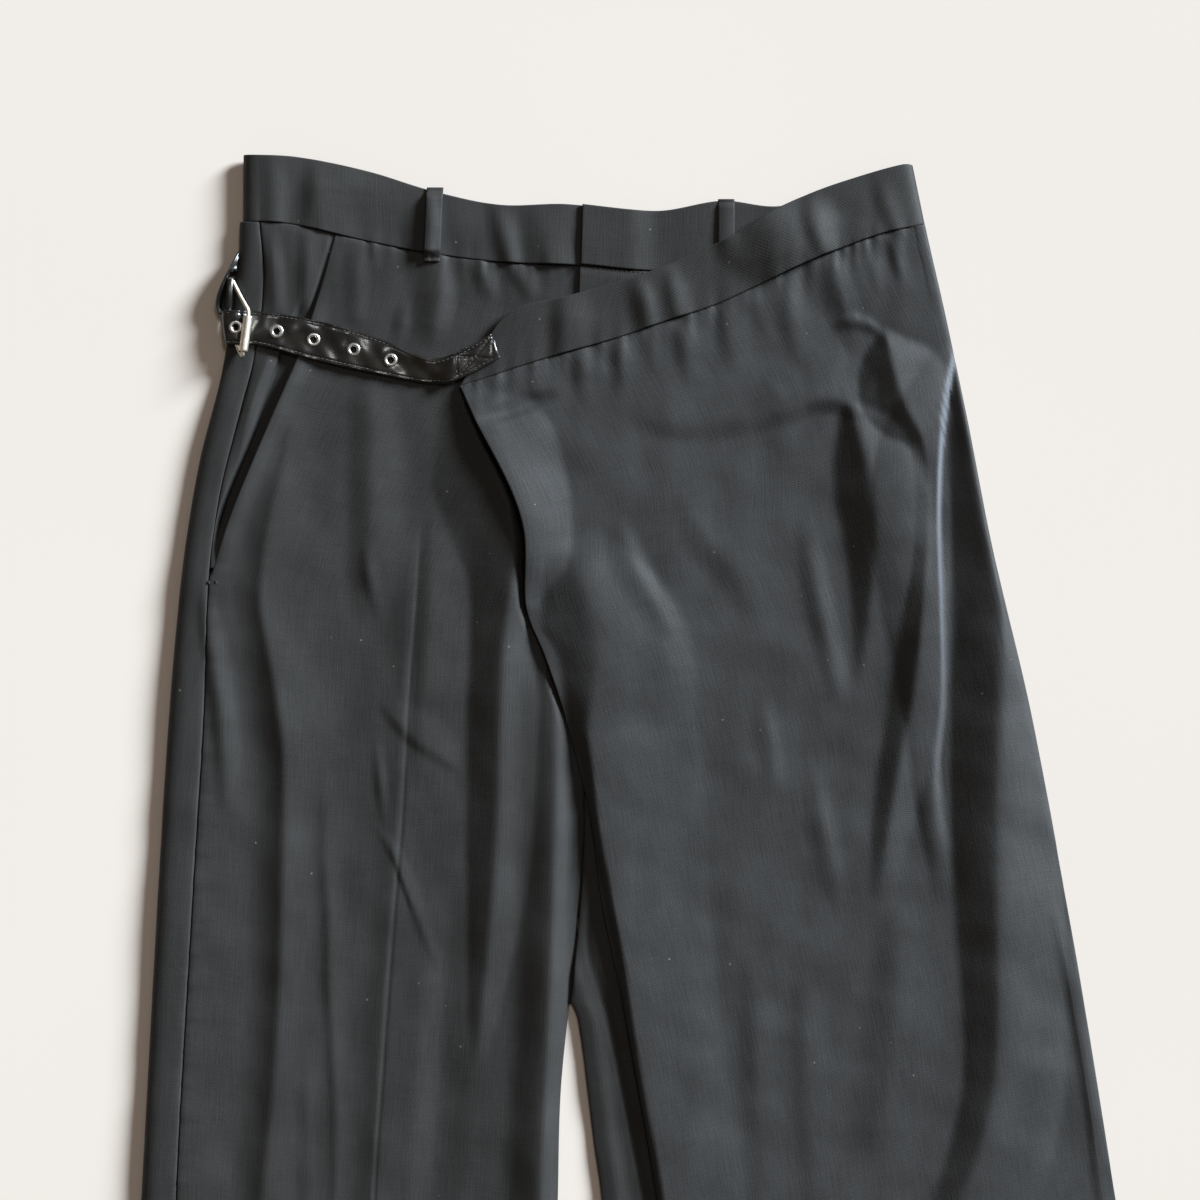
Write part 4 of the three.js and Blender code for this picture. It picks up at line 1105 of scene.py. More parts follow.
@dataclass(frozen=True)
class MetalFinish:
    """Plated metal with fine scratches and a little wear."""

    name: str
    bright: Colour
    dull: Colour
    roughness: float

    def build(self) -> Material:
        """The material, its wear on object coordinates.

        Returns:
            The material.
        """
        material, tree, shader = new_material(self.name)
        wear = object_noise(tree, {"Scale": 260.0, "Detail": 3.0})
        fill(tree, shader, {"Metallic": 1.0}, {
            "Base Color": ramp(tree, wear, [(0.35, self.dull), (0.6, self.bright)]),
            "Roughness": between(tree, wear, self.roughness - 0.06, self.roughness + 0.14),
            "Normal": relief(tree, wear, 0.04, 0.00003),
        })
        return material


@dataclass(frozen=True)
class PlainFinish:
    """One matt colour with a little unevenness: sewing thread, or the pale floor.

    Its darkest parts have the share low of the colour, and the stops are the noise's values between
    which it goes from them to the full colour.
    """

    name: str
    colour: Colour
    low: float
    scale: float
    stops: tuple[float, float]
    roughness: float
    specular: float

    def build(self) -> Material:
        """The material, uneven on object coordinates.

        Returns:
            The material.
        """
        material, tree, shader = new_material(self.name)
        uneven = object_noise(tree, {"Scale": self.scale})
        darker = tuple(self.low * c for c in self.colour)
        colour = ramp(tree, uneven, [(self.stops[0], darker), (self.stops[1], self.colour)])
        values = {"Roughness": self.roughness, "Specular IOR Level": self.specular}
        fill(tree, shader, values, {"Base Color": colour})
        return material


def thread_finish(name: str, colour: Colour) -> Material:
    """Waxed sewing thread with a faint twist."""
    return PlainFinish(name, colour, 0.6, 2600.0, (0.35, 0.65), 0.5, 0.5).build()


def baked(source: Object) -> bpy.types.Mesh:
    # A copy of the wool painted a shade lighter, for the extra light on the wrap panel.
    """A plain mesh of an object with its modifiers."""
    depsgraph = bpy.context.evaluated_depsgraph_get()
    return bpy.data.meshes.new_from_object(source.evaluated_get(depsgraph), depsgraph=depsgraph)


def linked(name: str, data: bpy.types.ID) -> Object:
    """A new object in the scene.

    Args:
        name: its name.
        data: its mesh, curve, light or camera.

    Returns:
        The object.
    """
    made = bpy.data.objects.new(name, data)
    bpy.context.scene.collection.objects.link(made)
    return made


def stitch_tree(material: Material) -> Tree:
    """Geometry nodes that set short stitches along a curve.

    Args:
        material: the thread.

    Returns:
        The node group, with inputs Geometry, Stitch Length, Spacing and Thread Radius in metres.
    """
    tree = bpy.data.node_groups.new("stitches", "GeometryNodeTree")
    tree.interface.new_socket("Geometry", in_out="INPUT", socket_type="NodeSocketGeometry")
    for name in ("Stitch Length", "Spacing", "Thread Radius"):
        tree.interface.new_socket(name, in_out="INPUT", socket_type="NodeSocketFloat")
    tree.interface.new_socket("Geometry", in_out="OUTPUT", socket_type="NodeSocketGeometry")
    given = add_node(tree, "NodeGroupInput").outputs
    feeds = {"Curve": given["Geometry"], "Length": given["Spacing"]}
    along = add_node(tree, "GeometryNodeCurveToPoints", feeds=feeds, mode="LENGTH").outputs
    bead = {"Segments": 8, "Rings": 6, "Radius": 1.0}
    stitch = add_node(tree, "GeometryNodeMeshUVSphere", bead).outputs["Mesh"]
    half = add_node(tree, "ShaderNodeMath", {1: 0.5}, {0: given["Stitch Length"]}, operation="MULTIPLY")
    feeds = {"X": given["Thread Radius"], "Y": given["Thread Radius"], "Z": half.outputs["Value"]}
    size = add_node(tree, "ShaderNodeCombineXYZ", feeds=feeds).outputs["Vector"]
    feeds = {"Points": along["Points"], "Rotation": along["Rotation"], "Instance": stitch, "Scale": size}
    row = add_node(tree, "GeometryNodeInstanceOnPoints", feeds=feeds).outputs["Instances"]
    smooth = add_node(tree, "GeometryNodeSetShadeSmooth", feeds={"Geometry": row}).outputs["Geometry"]
    real = add_node(tree, "GeometryNodeRealizeInstances", feeds={"Geometry": smooth}).outputs["Geometry"]
    finish = add_node(tree, "GeometryNodeSetMaterial", {"Material": material}, {"Geometry": real})
    add_node(tree, "NodeGroupOutput", feeds={"Geometry": finish.outputs["Geometry"]})
    return tree


def stitched(
    name: str, lines: Sequence[Array], tree: Tree, length: float, spacing: float, radius: float, slot: Slot,
) -> Object:
    """Stitches along lines, as one plain mesh.

    Args:
        name: the piece's name.
        lines: each a row of points in mm.
        tree: the node group of stitch_tree.
        length: a stitch's length in mm.
        spacing: from one stitch to the next in mm.
        radius: the thread's radius in mm.
        slot: the slot that the thread goes with.

    Returns:
        The mesh object.
    """
    curve = bpy.data.curves.new(name + "_path", "CURVE")
    curve.dimensions = "3D"
    for line in lines:
        spline = curve.splines.new("POLY")
        spline.points.add(len(line) - 1)
        for point, at in zip(spline.points, np.asarray(line) * MM):
            point.co = (*at, 1.0)
    holder = linked(name + "_path", curve)
    modifier = holder.modifiers.new("stitches", "NODES")
    modifier.node_group = tree
    sizes = {"Stitch Length": length * MM, "Spacing": spacing * MM, "Thread Radius": radius * MM}
    for item in tree.interface.items_tree:
        if item.in_out == "INPUT" and item.name in sizes:
            modifier[item.identifier] = sizes[item.name]
    mesh = baked(holder)
    mesh.name = name
    bpy.data.objects.remove(holder)
    return place(linked(name, mesh), slot)


def tube(name: str, path: Array, radius: float, sides: int, material: Material) -> Object:
    """A closed ring of wire.

    Args:
        name: the piece's name.
        path: its closed middle line in mm, a point a row.
        radius: the wire's radius in mm.
        sides: corners round the wire.
        material: its finish.

    Returns:
        The mesh object.
    """
    count = len(path)
    ahead = np.roll(path, -1, axis=0) - np.roll(path, 1, axis=0)
    ahead /= np.linalg.norm(ahead, axis=1, keepdims=True)
    outward = path - path.mean(axis=0)
    outward -= ahead * (outward * ahead).sum(axis=1, keepdims=True)
    outward /= np.linalg.norm(outward, axis=1, keepdims=True)
    up = np.cross(ahead, outward)
    angle = np.linspace(0, 2 * math.pi, sides, endpoint=False)[None, :, None]
    points = path[:, None] + radius * (np.cos(angle) * outward[:, None] + np.sin(angle) * up[:, None])
    ids = np.arange(count * sides).reshape(count, sides)
    onward, around = np.roll(ids, -1, axis=0), np.roll(ids, -1, axis=1)
    both = np.roll(onward, -1, axis=1)
    faces = quads(ids, around, both, onward)
    return object_of(name, points.reshape(-1, 3), faces.tolist(), material)


def mirrored(half: Sequence[tuple[float, float]]) -> list[tuple[float, float]]:
    """The other half of a profile of (radius, height)."""
    return [(radius, -height) for radius, height in reversed(half)]


def axle(head: Vector, foot: Vector) -> tuple[Vector, Vector]:
    """The middle of a bar and its direction."""
    return (head + foot) / 2, (head - foot).normalized()


def turned(
    name: str, profile: Sequence[tuple[float, float]], places: Sequence[tuple[Vector, Vector]], sides: int,
    material: Material,
) -> Object:
    """Closed rings turned from a closed profile, as one mesh.

    Args:
        name: the piece's name.
        profile: the (radius, height) of its corners in mm.
        places: the (middle, axis) of each ring.
        sides: corners round a ring.
        material: its finish.

    Returns:
        The mesh object.
    """
    rings: list[Array] = []
    faces: list[list[int]] = []
    shape = np.array(profile, float)
    around = np.linspace(0, 2 * math.pi, sides, endpoint=False)
    for middle, axis in places:
        turn = Vector((0, 0, 1)).rotation_difference(axis).to_matrix()
        start = sum(len(r) for r in rings)
        wide, deep = (np.outer(part, shape[:, 0]) for part in (np.cos(around), np.sin(around)))
        ring = points_at(wide, deep, np.outer(np.ones(sides), shape[:, 1])).reshape(-1, 3)
        rings.append(ring @ np.array(turn).T + np.array(middle))
        ids = start + np.arange(sides * len(shape)).reshape(sides, len(shape))
        onward = np.roll(ids, -1, axis=0)
        up, both = np.roll(ids, -1, axis=1), np.roll(onward, -1, axis=1)
        faces += quads(ids, onward, both, up).tolist()
    return object_of(name, np.concatenate(rings), faces, material)


def flying_lap(y: Array) -> Array:
    """x of the right front's inner edge: the under lap of the fly, then the centre seam and the inseam."""
    return mix(INSEAM_RIGHT(np.minimum(y, 150)), LAP_EDGE, rise(y, 300, 345))


def front_left_edge(y: Array) -> Array:
    """The left front's inner edge: the fly, the centre seam and the inseam.

    Args:
        y: places in mm.

    Returns:
        x in mm.
    """
    fly = mix(-51.5, -49.5, rise(y, 460, 520))
    centre = INSEAM_RIGHT(np.minimum(y, 150)) + 0.6
    return np.where(y > 300, fly, np.where(y > CROTCH, centre, INSEAM_LEFT(y)))


def below_band(x: Array) -> Array:
    """y of the panels' top line, just under the waistband."""
    return WAIST_SEAM(x) - 0.1


def seam_dip(distance: Array, deep: float = 0.35, wide: float = 1.3) -> Array:
    """How far the cloth sinks beside a seam."""
    return deep * hump(distance, 0.0, wide)


def pucker(along: Array, distance: Array, tall: float, seed: int, reach: float = 7.0) -> Array:
    """Small uneven gathers that a seam draws into the cloth beside it.

    Args:
        along: place along the seam in mm.
        distance: from the seam in mm.
        tall: the usual height in mm.
        seed: which pattern.
        reach: how far they run in mm.

    Returns:
        Heights in mm.
    """
    source = np.random.default_rng(seed)
    total = np.zeros_like(along + distance)
    for wave in (5.5, 7.5, 10.0, 14.0, 23.0):
        length, start = wave * source.uniform(0.85, 1.15), source.uniform(0, 2 * math.pi)
        fade = np.exp(-np.maximum(distance, 0) / (reach * wave / 9.0))
        total += np.sin(along * 2 * math.pi / length + start) * fade * (wave / 10.0) ** 0.5
    return total * tall / 1.6


@dataclass(frozen=True)
class Stretch:
    """One stretch of a panel's width: the shares of its columns, and where a share lies at each y."""

    shares: Array
    at: Callable[[Array, Array], tuple[Array, Array]]


def stretched(parts: Sequence[Stretch], top: Surface, hem: Profile, vs: Array) -> Array:
    """A panel's face points, from stretches side by side.

    Args:
        parts: the stretches, each from the end of the one before; they give x and z in mm.
        top: y of the top line at x and z.
        hem: y of the hem at x.
        vs: shares down.

    Returns:
        Points in mm, rows down and columns across.
    """
    v = vs[:, None]
    found = []
    for number, part in enumerate(parts):
        shares = part.shares if number == len(parts) - 1 else part.shares[:-1]
        y = mix(480.0, -HALF_LENGTH, v) + 0 * shares[None, :]
        for _ in range(9):
            x, z = part.at(y, shares[None, :])
            y = mix(top(x, z), hem(x), v)
        x, z = part.at(y, shares[None, :])
        found.append(points_at(x, y, z + 0 * x))
    return np.concatenate(found, axis=1)


def wrap_face(x: Array, y: Array) -> Array:
    """Face of the wrap panel with the small gathers beside its band."""
    below = band_foot(x) - y
    return wrap_top(x, y) - seam_dip(below, 0.4) + pucker(x, below, 0.42, 23, 9.0) * rise(below, -1, 1)


@dataclass
class RightLeg:
    """The wearer's right leg: back, pocket facing and front."""

    wool: Material
    step: float = 2.0
    pocket_drop: float = 2.4

    def back(self) -> Object:
        """The back, flat on the surface and turned over at the hip up to the side seam.

        Returns:
            The piece.
        """

        def flat(y: Array, share: Array) -> tuple[Array, Array]:
            """On the surface, from the middle to the hip."""
            middle = np.where(y > CROTCH, CENTRE_BACK, INSEAM_RIGHT(y) - 1.5)
            return mix(middle, HIP_SIDE(y) + HIP_ROLL, share), 0 * y

        def turn(y: Array, share: Array) -> tuple[Array, Array]:
            """Up round the hip, half an ellipse.

            Args:
                y: places in mm.
                share: from 0 to 1 round the turn.

            Returns:
                x and z in mm.
            """
            angle = math.pi * (share - 0.5)
            tall = front_top(HIP_SIDE(y) + HIP_ROLL, y)
            return HIP_SIDE(y) + HIP_ROLL * (1 - np.cos(angle)), tall / 2 * (1 + np.sin(angle))

        def over(y: Array, share: Array) -> tuple[Array, Array]:
            """On top, from the hip to the side seam."""
            x = mix(HIP_SIDE(y) + HIP_ROLL, SIDE_SEAM(y), share)
            return x, front_top(x, y) - seam_dip(SIDE_SEAM(y) - x) * (share > 0)

        parts = [
            Stretch(stations(240, 12.0), flat),
            Stretch(np.linspace(0, 1, 13), turn),
            Stretch(np.array([0, 0.15, 0.3, 0.45, 0.6, 0.75, 0.88, 0.96, 1.0]), over),
        ]

        def top(x: Array, z: Array) -> Array:
            """The top line, lower on the surface than on top."""
            return below_band(x) - 1.4 * (1 - rise(z, 0, 3))

        points = stretched(parts, top, HEM_RIGHT, stations(1050, 5.0))
        return lay_cloth(Shell("back_right_cloth", points, CLOTH, self.wool), "back_right")

    def facing(self) -> Object:
        """The cloth in the pocket's slanted opening.

        Returns:
            The piece.
        """
        us, vs = stations(60, 1.0)[None, :], stations(200, 3.0)[:, None]
        y = mix(504.0, 300.0, vs) + 0 * us
        x = y
        for _ in range(8):
            right = np.minimum(POCKET_EDGE(y) + mix(16.0, 1.0, vs), SIDE_SEAM(y) + 60)
            x = mix(SIDE_SEAM(y) + SEAM, right, us)
            y = mix(below_band(x), 300.0, vs)
        to_edge = POCKET_EDGE(y) - x
        narrow = np.clip((POCKET_EDGE(y) - SIDE_SEAM(y)) / 26, 0.12, 1.0) * (1 - 0.75 * rise(y, 450, 490))
        tucked = rise(-to_edge, mix(-11.0, -3.5, rise(y, 440, 465)), -1.0) * narrow
        below_strap = (1 - rise(y, 440, 462)) * rise(y, 297, 345)
        opening = 2.2 + 3.0 * rise(y, 297, 345) + 3.2 * rise(y, 381, 427)
        slope = below_strap * rise(-to_edge, -opening - 3.4, 0.6 - opening)
        z = front_smooth(x, y) + folded(FACING_FOLDS, x, y) * pressed_by_strap(x, y) * (1 - tucked)
        sunk = np.maximum(self.pocket_drop * tucked, 6.4 * slope)
        z -= sunk + seam_dip(x - SIDE_SEAM(y)) + seam_dip(below_band(x) - y)
        z = np.maximum(z, 2.6)
        shell = Shell("hip_facing_cloth", points_at(x, y, z), CLOTH, self.wool)
        return lay_cloth(shell, "hip_facing")

    def front(self) -> Object:
        """The front, with its slanted pocket edge and its folds.

        Returns:
            The piece.
        """

        def left(y: Array) -> Array:
            """x of the pocket's edge and, below it, of the side seam."""
            return np.where(y > 297, POCKET_EDGE(np.minimum(y, 503)), SIDE_SEAM(y)) + SEAM

        us = stations(225, self.step)
        creased = us[(us > 0.5) & (us < 0.575)]
        us = np.sort(np.concatenate([us, (creased[1:] + creased[:-1]) / 2]))
        fine = stations(600, self.step, (0.0, 0.3, 0.9, 2.0))[:-3]
        vs = np.concatenate([fine * 0.58, np.linspace(0.585, 1, 56)])
        x, y = laid_grid(left, flying_lap, below_band, HEM_RIGHT, us, vs)
        z = front_top(x, y)
        at_pocket = rise(y, 297, 320)
        beside, below, from_pocket = x - left(y), below_band(x) - y, x - POCKET_EDGE(y)
        z -= seam_dip(beside) * (1 - at_pocket) + seam_dip(below, 0.4)
        z += pucker(x, below, 0.28, 21) + pucker(y, beside, 0.16, 22, 5.0) * (1 - at_pocket)
        lifted = mix(0.5, 1.8, (1 - rise(y, 440, 470)) * at_pocket)
        z += lifted * hump(from_pocket, 2.0, 6.0) * at_pocket
        gape = rise(y, 300, 392) * (1 - rise(y, 408, 424))
        z += 1.7 * gape * hump(from_pocket, 0.0, 20.0)
        crotch = 1 - rise(y, 150, 190)
        z -= 1.6 * hump(INSEAM_RIGHT(y) - x, 0, 3.2) * crotch
        shell = Shell("front_right_cloth", points_at(x, y, z), CLOTH, self.wool)
        return lay_cloth(shell, "front_right")


@dataclass
class LeftLeg:
    """The wearer's left leg: back and the front under the wrap."""

    wool: Material

    def back(self) -> Object:
        """The back, flat on the surface, its side turned up to meet the wrap.

        Returns:
            The piece.
        """
        tall = WRAP_SEAM_HEIGHT - 0.35

        def turn(y: Array, share: Array) -> tuple[Array, Array]:
            """Down from the wrap's seam to the surface, a quarter of an ellipse."""
            angle = share * math.pi / 2
            return WRAP_SIDE(y) - WRAP_ROLL * (1 - np.cos(angle)), tall * (1 - np.sin(angle))

        def flat(y: Array, share: Array) -> tuple[Array, Array]:
            """On the surface, to the middle."""
            middle = np.where(y > CROTCH, CENTRE_BACK + 0.4, INSEAM_LEFT(y) + 1.5)
            return mix(WRAP_SIDE(y) - WRAP_ROLL, middle, share), 0 * y

        parts = [Stretch(np.linspace(0, 1, 8), turn), Stretch(stations(240, 12.0), flat)]
        points = stretched(
            parts, lambda x, z: below_band(x) - 2.0, lambda x: HEM_LEFT(x) + 1.0, stations(1000, 10.0),
        )
        return lay_cloth(Shell("back_left_cloth", points, CLOTH, self.wool), "back_left")

    def front(self) -> Object:
        """The front under the wrap, seen at the fly and along the inner leg.

        Returns:
            The piece.
        """
        seen, covered = np.linspace(2.0, 60, 34), np.linspace(70, 300, 20)
        us = np.concatenate([np.array([0, 0.3, 0.9]), seen, covered]) / 300
        vs = stations(1030, 5.0)
        x, y = laid_grid(
            front_left_edge, lambda y: WRAP_SIDE(y) - 11, below_band, lambda x: HEM_LEFT(x) + 1, us, vs,
        )
        z = left_front_top(x, y)
        z -= seam_dip(x - front_left_edge(y)) * (1 - rise(y, 270, 310)) + seam_dip(below_band(x) - y, 0.5)
        shell = Shell("front_left_cloth", points_at(x, y, z), CLOTH, self.wool)
        return lay_cloth(shell, "front_left")


@dataclass(frozen=True)
class BeltLoop:
    """A strip that stands over the waistband and is sewn down at both ends."""

    side: str
    x: float
    head_y: float
    foot_y: float
    lean: float
    proud: float
    base: Surface
    wide: float = 10.0

    def strip(self, wool: Material) -> Object:
        """The cloth, folded to a narrow band.

        Args:
            wool: its finish.

        Returns:
            The piece.
        """
        us = stations(self.wide, 0.9, (0.0, 0.2, 0.5))[None, :]
        vs = stations(44, 0.8, (0.0, 0.2, 0.6))[:, None]
        x = self.x + self.lean * vs + self.wide * (us - 0.5)
        y = mix(self.head_y, self.foot_y, vs) + 0 * us
        lift = self.proud * rise(vs, 0.03, 0.16) * (1 - rise(vs, 0.84, 0.97))
        z = self.base(x, y) + CLOTH + 0.35 + lift + 0.5 * np.cos((us - 0.5) * math.pi)
        for share in (0.055, 0.945):
            z -= 0.35 * hump(vs, share, 0.018)
        shell = Shell(f"belt_loop_{self.side}_cloth", points_at(x, y, z), CLOTH, wool)
        return lay_cloth(shell, f"belt_loop_{self.side}")

    def tacks(self, thread: Tree) -> Object:
        """A short bar of stitches across each end.

        Args:
            thread: the node group of stitch_tree.

        Returns:
            The piece.
        """
        lines = []
        for share in (0.055, 0.945):
            x = self.x + self.lean * share + self.wide * (np.linspace(0.12, 0.88, 8) - 0.5)
            y = np.full(8, mix(self.head_y, self.foot_y, share))
            lines.append(points_at(x, y, self.base(x, y) + CLOTH + 0.25))
        return stitched(f"belt_loop_{self.side}_cloth_tacks", lines, thread, 1.5, 0.9, 0.2, Slot.CLOTH)


@dataclass
class Waist:
    """The trousers' waistband halves and the belt loops on them."""

    wool: Material
    thread: Tree
    tall: float = 7.6
    low: float = 5.2

    def face(self, x: Array, y: Array) -> Array:
        """Face of the right half over the front.

        Args:
            x: places in mm.
            y: places in mm.

        Returns:
            Heights in mm.
        """
        rolled = mix(self.tall, self.low, rise(x - WAIST_SIDE, HIP_ROLL, 70))
        gathered = rolled + hip_swell(x) + pucker(x, y - WAIST_SEAM(x), 0.2, 21)
        return gathered + folded(WAISTBAND_FOLDS, x, y) + ripples(x, y, 38, 0.24, 8)

    def right_half(self) -> Object:
        """From the centre back round the hip to under the fly's lap.

        Returns:
            The piece.
        """

        def flat(y: Array, share: Array) -> tuple[Array, Array]:
            """On the surface, from the centre back to the hip."""
            return mix(CENTRE_BACK, WAIST_SIDE + HIP_ROLL, share) + 0 * y, 0 * y

        def turn(y: Array, share: Array) -> tuple[Array, Array]:
            """Up round the hip.

            Args:
                y: places in mm.
                share: from 0 to 1 round the turn.

            Returns:
                x and z in mm.
            """
            angle = math.pi * (share - 0.5)
            tall = self.face(WAIST_SIDE + HIP_ROLL + 0 * y, y)
            return WAIST_SIDE + HIP_ROLL * (1 - np.cos(angle)) + 0 * y, tall / 2 * (1 + np.sin(angle))

        def over(y: Array, share: Array) -> tuple[Array, Array]:
            """On top, from the hip to the fly."""
            x = mix(WAIST_SIDE + HIP_ROLL, LAP_EDGE, share) + 0 * y
            return x, self.face(x, y)

        parts = [
            Stretch(stations(190, 10.0), flat),
            Stretch(np.linspace(0, 1, 13), turn),
            Stretch(stations(220, 2.6), over),
        ]
        points = stretched(
            parts, lambda x, z: WAIST(x) - 2 * (1 - rise(z, 0, 4)), WAIST_SEAM, stations(40, 2.4),
        )
        shell = Shell("waistband_right_cloth", points, BAND, self.wool)
        return lay_cloth(shell, "waistband_right")

    def left_half(self) -> Object:
        """From its lap over the fly to the left side, under the wrap's band.

        Returns:
            The piece.
        """
        us, vs = stations(188, 2.6)[None, :], stations(38, 2.4)[:, None]
        x = mix(mix(-49.2, -50.2, vs), 138.0, us)
        y = mix(WAIST(x) + 0.6, WAIST_SEAM(x) + 0.6, vs)
        z = 5.4 + 2.5 * (1 - rise(x, LAP_EDGE, -4)) - 0.4 * rise(x, 10, 40)
        z += 1.0 * rise(x, 0, 28) * (1 - rise(x, 30, 60)) + ripples(x, y, 38, 0.2, 9)
        shell = Shell("waistband_left_cloth", points_at(x, y, z), BAND, self.wool)
        return lay_cloth(shell, "waistband_left")

    def build(self) -> None:
        """Both halves and both loops."""
        self.right_half()
        self.left_half()

        def over_seam(x: Array, y: Array) -> Array:
            """The waistband's face, and below it the front's."""
            band = self.face(x, y)
            return np.where(y > WAIST_SEAM(x), band, np.maximum(front_top(x, y), band - 0.6))

        right = BeltLoop("right", -137.5, 528.5, 484.0, -2.0, 2.8, over_seam)
        left = BeltLoop("left", 37.0, 521.5, 486.0, 0.0, 0.9, lambda x, y: self.low + 0 * x)
        for loop in (right, left):
            loop.strip(self.wool)
            loop.tacks(self.thread)


@dataclass
class Wrap:
    """The second front and its band."""

    wool: Material
    # The wool painted a shade lighter, for the extra light on the panel.
    painted_lighter_wool: Material
    step: float = 2.2

    def panel(self) -> Object:
        """From its free edge over to the left side, where it turns down to the back.

        Returns:
            The piece.
        """
        low = WRAP_SEAM_HEIGHT + 0.1

        def flat(y: Array, share: Array) -> tuple[Array, Array]:
            """From the free edge to the left side."""
            x = mix(FREE_EDGE(y), WRAP_SIDE(y) - WRAP_ROLL, share)
            return x, wrap_face(x, y)

        def turn(y: Array, share: Array) -> tuple[Array, Array]:
            """Down to the back, round a tight fold.

            Args:
                y: places in mm.
                share: from 0 to 1 round the turn.

            Returns:
                x and z in mm.
            """
            angle = share * math.pi / 2
            start = WRAP_SIDE(y) - WRAP_ROLL
            out, down = np.sin(angle) ** 0.62, np.maximum(np.cos(angle), 0) ** 0.5
            x = start + WRAP_ROLL * out
            return x, low + (wrap_top(x, y) - low) * down

        fine = stations(560, self.step + 0.3, (0.0, 0.3, 0.9, 2.0))[:-3]
        vs = np.concatenate([fine * 0.56, np.linspace(0.565, 1, 60)])
        us = stations(275, self.step)
        fine_from = us[(us > 0.8) & (us < 0.97)]
        us = np.sort(np.concatenate([us, (fine_from[1:] + fine_from[:-1]) / 2]))
        parts = [Stretch(us, flat), Stretch(np.linspace(0, 1, 11), turn)]
        points = stretched(parts, lambda x, z: band_foot(x) - 0.1, HEM_LEFT, vs)
        # The painted highlight along the hip's pressed edge.
        gloss_and_painted_highlight = folded(GLOSS_AND_PAINTED_HIGHLIGHT_LINES, points[:, :, 0], points[:, :, 1]) / FOLD_GAIN
        # The panel's cloth is the wool painted a shade lighter for the extra light on it.
        shell = Shell("wrap_panel_cloth", points, CLOTH + 0.3, self.painted_lighter_wool, gloss_and_painted_highlight=gloss_and_painted_highlight)
        return lay_cloth(shell, "wrap_panel")

    def band(self) -> Object:
        """The band, folded round the left side to the back.

        Returns:
            The piece.
        """
        rows = np.array(WRAP_BAND)
        at = distances(np.hypot(*np.diff(rows[:, :2], axis=0).T) + np.abs(np.diff(rows[:, 4])))
        us = stations(float(at[-1]), 2.6) * at[-1]
        vs = stations(33, 2.4)[:, None]
        head_x, head_y, foot_x, foot_y, z = (column[None, :] for column in columns_at(at, rows, us))
        x, y = mix(head_x, foot_x, vs), mix(head_y, foot_y, vs)
        on_top = rise(us, 0, 4) * (1 - rise(us, at[10], at[12]))
        relief = folded(BAND_FOLDS, x, y) + ripples(x, y, 45, 0.2, 10) + pucker(x, y - foot_y, 0.25, 23)
        z = np.maximum(z, 0) + relief * on_top[None, :]
        flat_back = us > at[14]
        z[:, flat_back] = np.where(us[flat_back] > at[15], 0.0, z[:, flat_back])
        shell = Shell("wrap_band_cloth", points_at(x, y, z), BAND, self.wool)
        return lay_cloth(shell, "wrap_band")


@dataclass
class Seams:
    """The lines of fine stitches beside the waist seams."""

    thread: Tree

    def build(self) -> Object:
        """Stitches along the waistband's seam and the wrap band's, and the tack below the pocket.

        Returns:
            The piece.
        """
        right = np.linspace(-232, -66, 260)
        right_y = below_band(right) - 0.9
        fly = np.linspace(-47, 8, 90)
        wrapped = np.linspace(-120, 148, 420)
        wrapped_y = band_foot(wrapped) - 0.9
        right_z = front_top(right, right_y) - seam_dip(0.9, 0.4) + pucker(right, 0.9, 0.28, 21)
        sunk = 0.22
        lines = [
            points_at(right, right_y, right_z - sunk),
            points_at(fly, below_band(fly) - 0.9, left_front_top(fly, below_band(fly)) - sunk),
            points_at(wrapped, wrapped_y, wrap_face(wrapped, wrapped_y) - sunk),
        ]
        for row in range(4):
            tack_x = np.linspace(-273.0, -268.6, 6)
            tack_y = np.full(6, 292.4 - 0.45 * row)
            lines.append(points_at(tack_x, tack_y, front_top(tack_x, tack_y) + 0.3))
        return stitched("seam_stitches", lines, self.thread, 1.9, 2.6, 0.3, Slot.CLOTH)


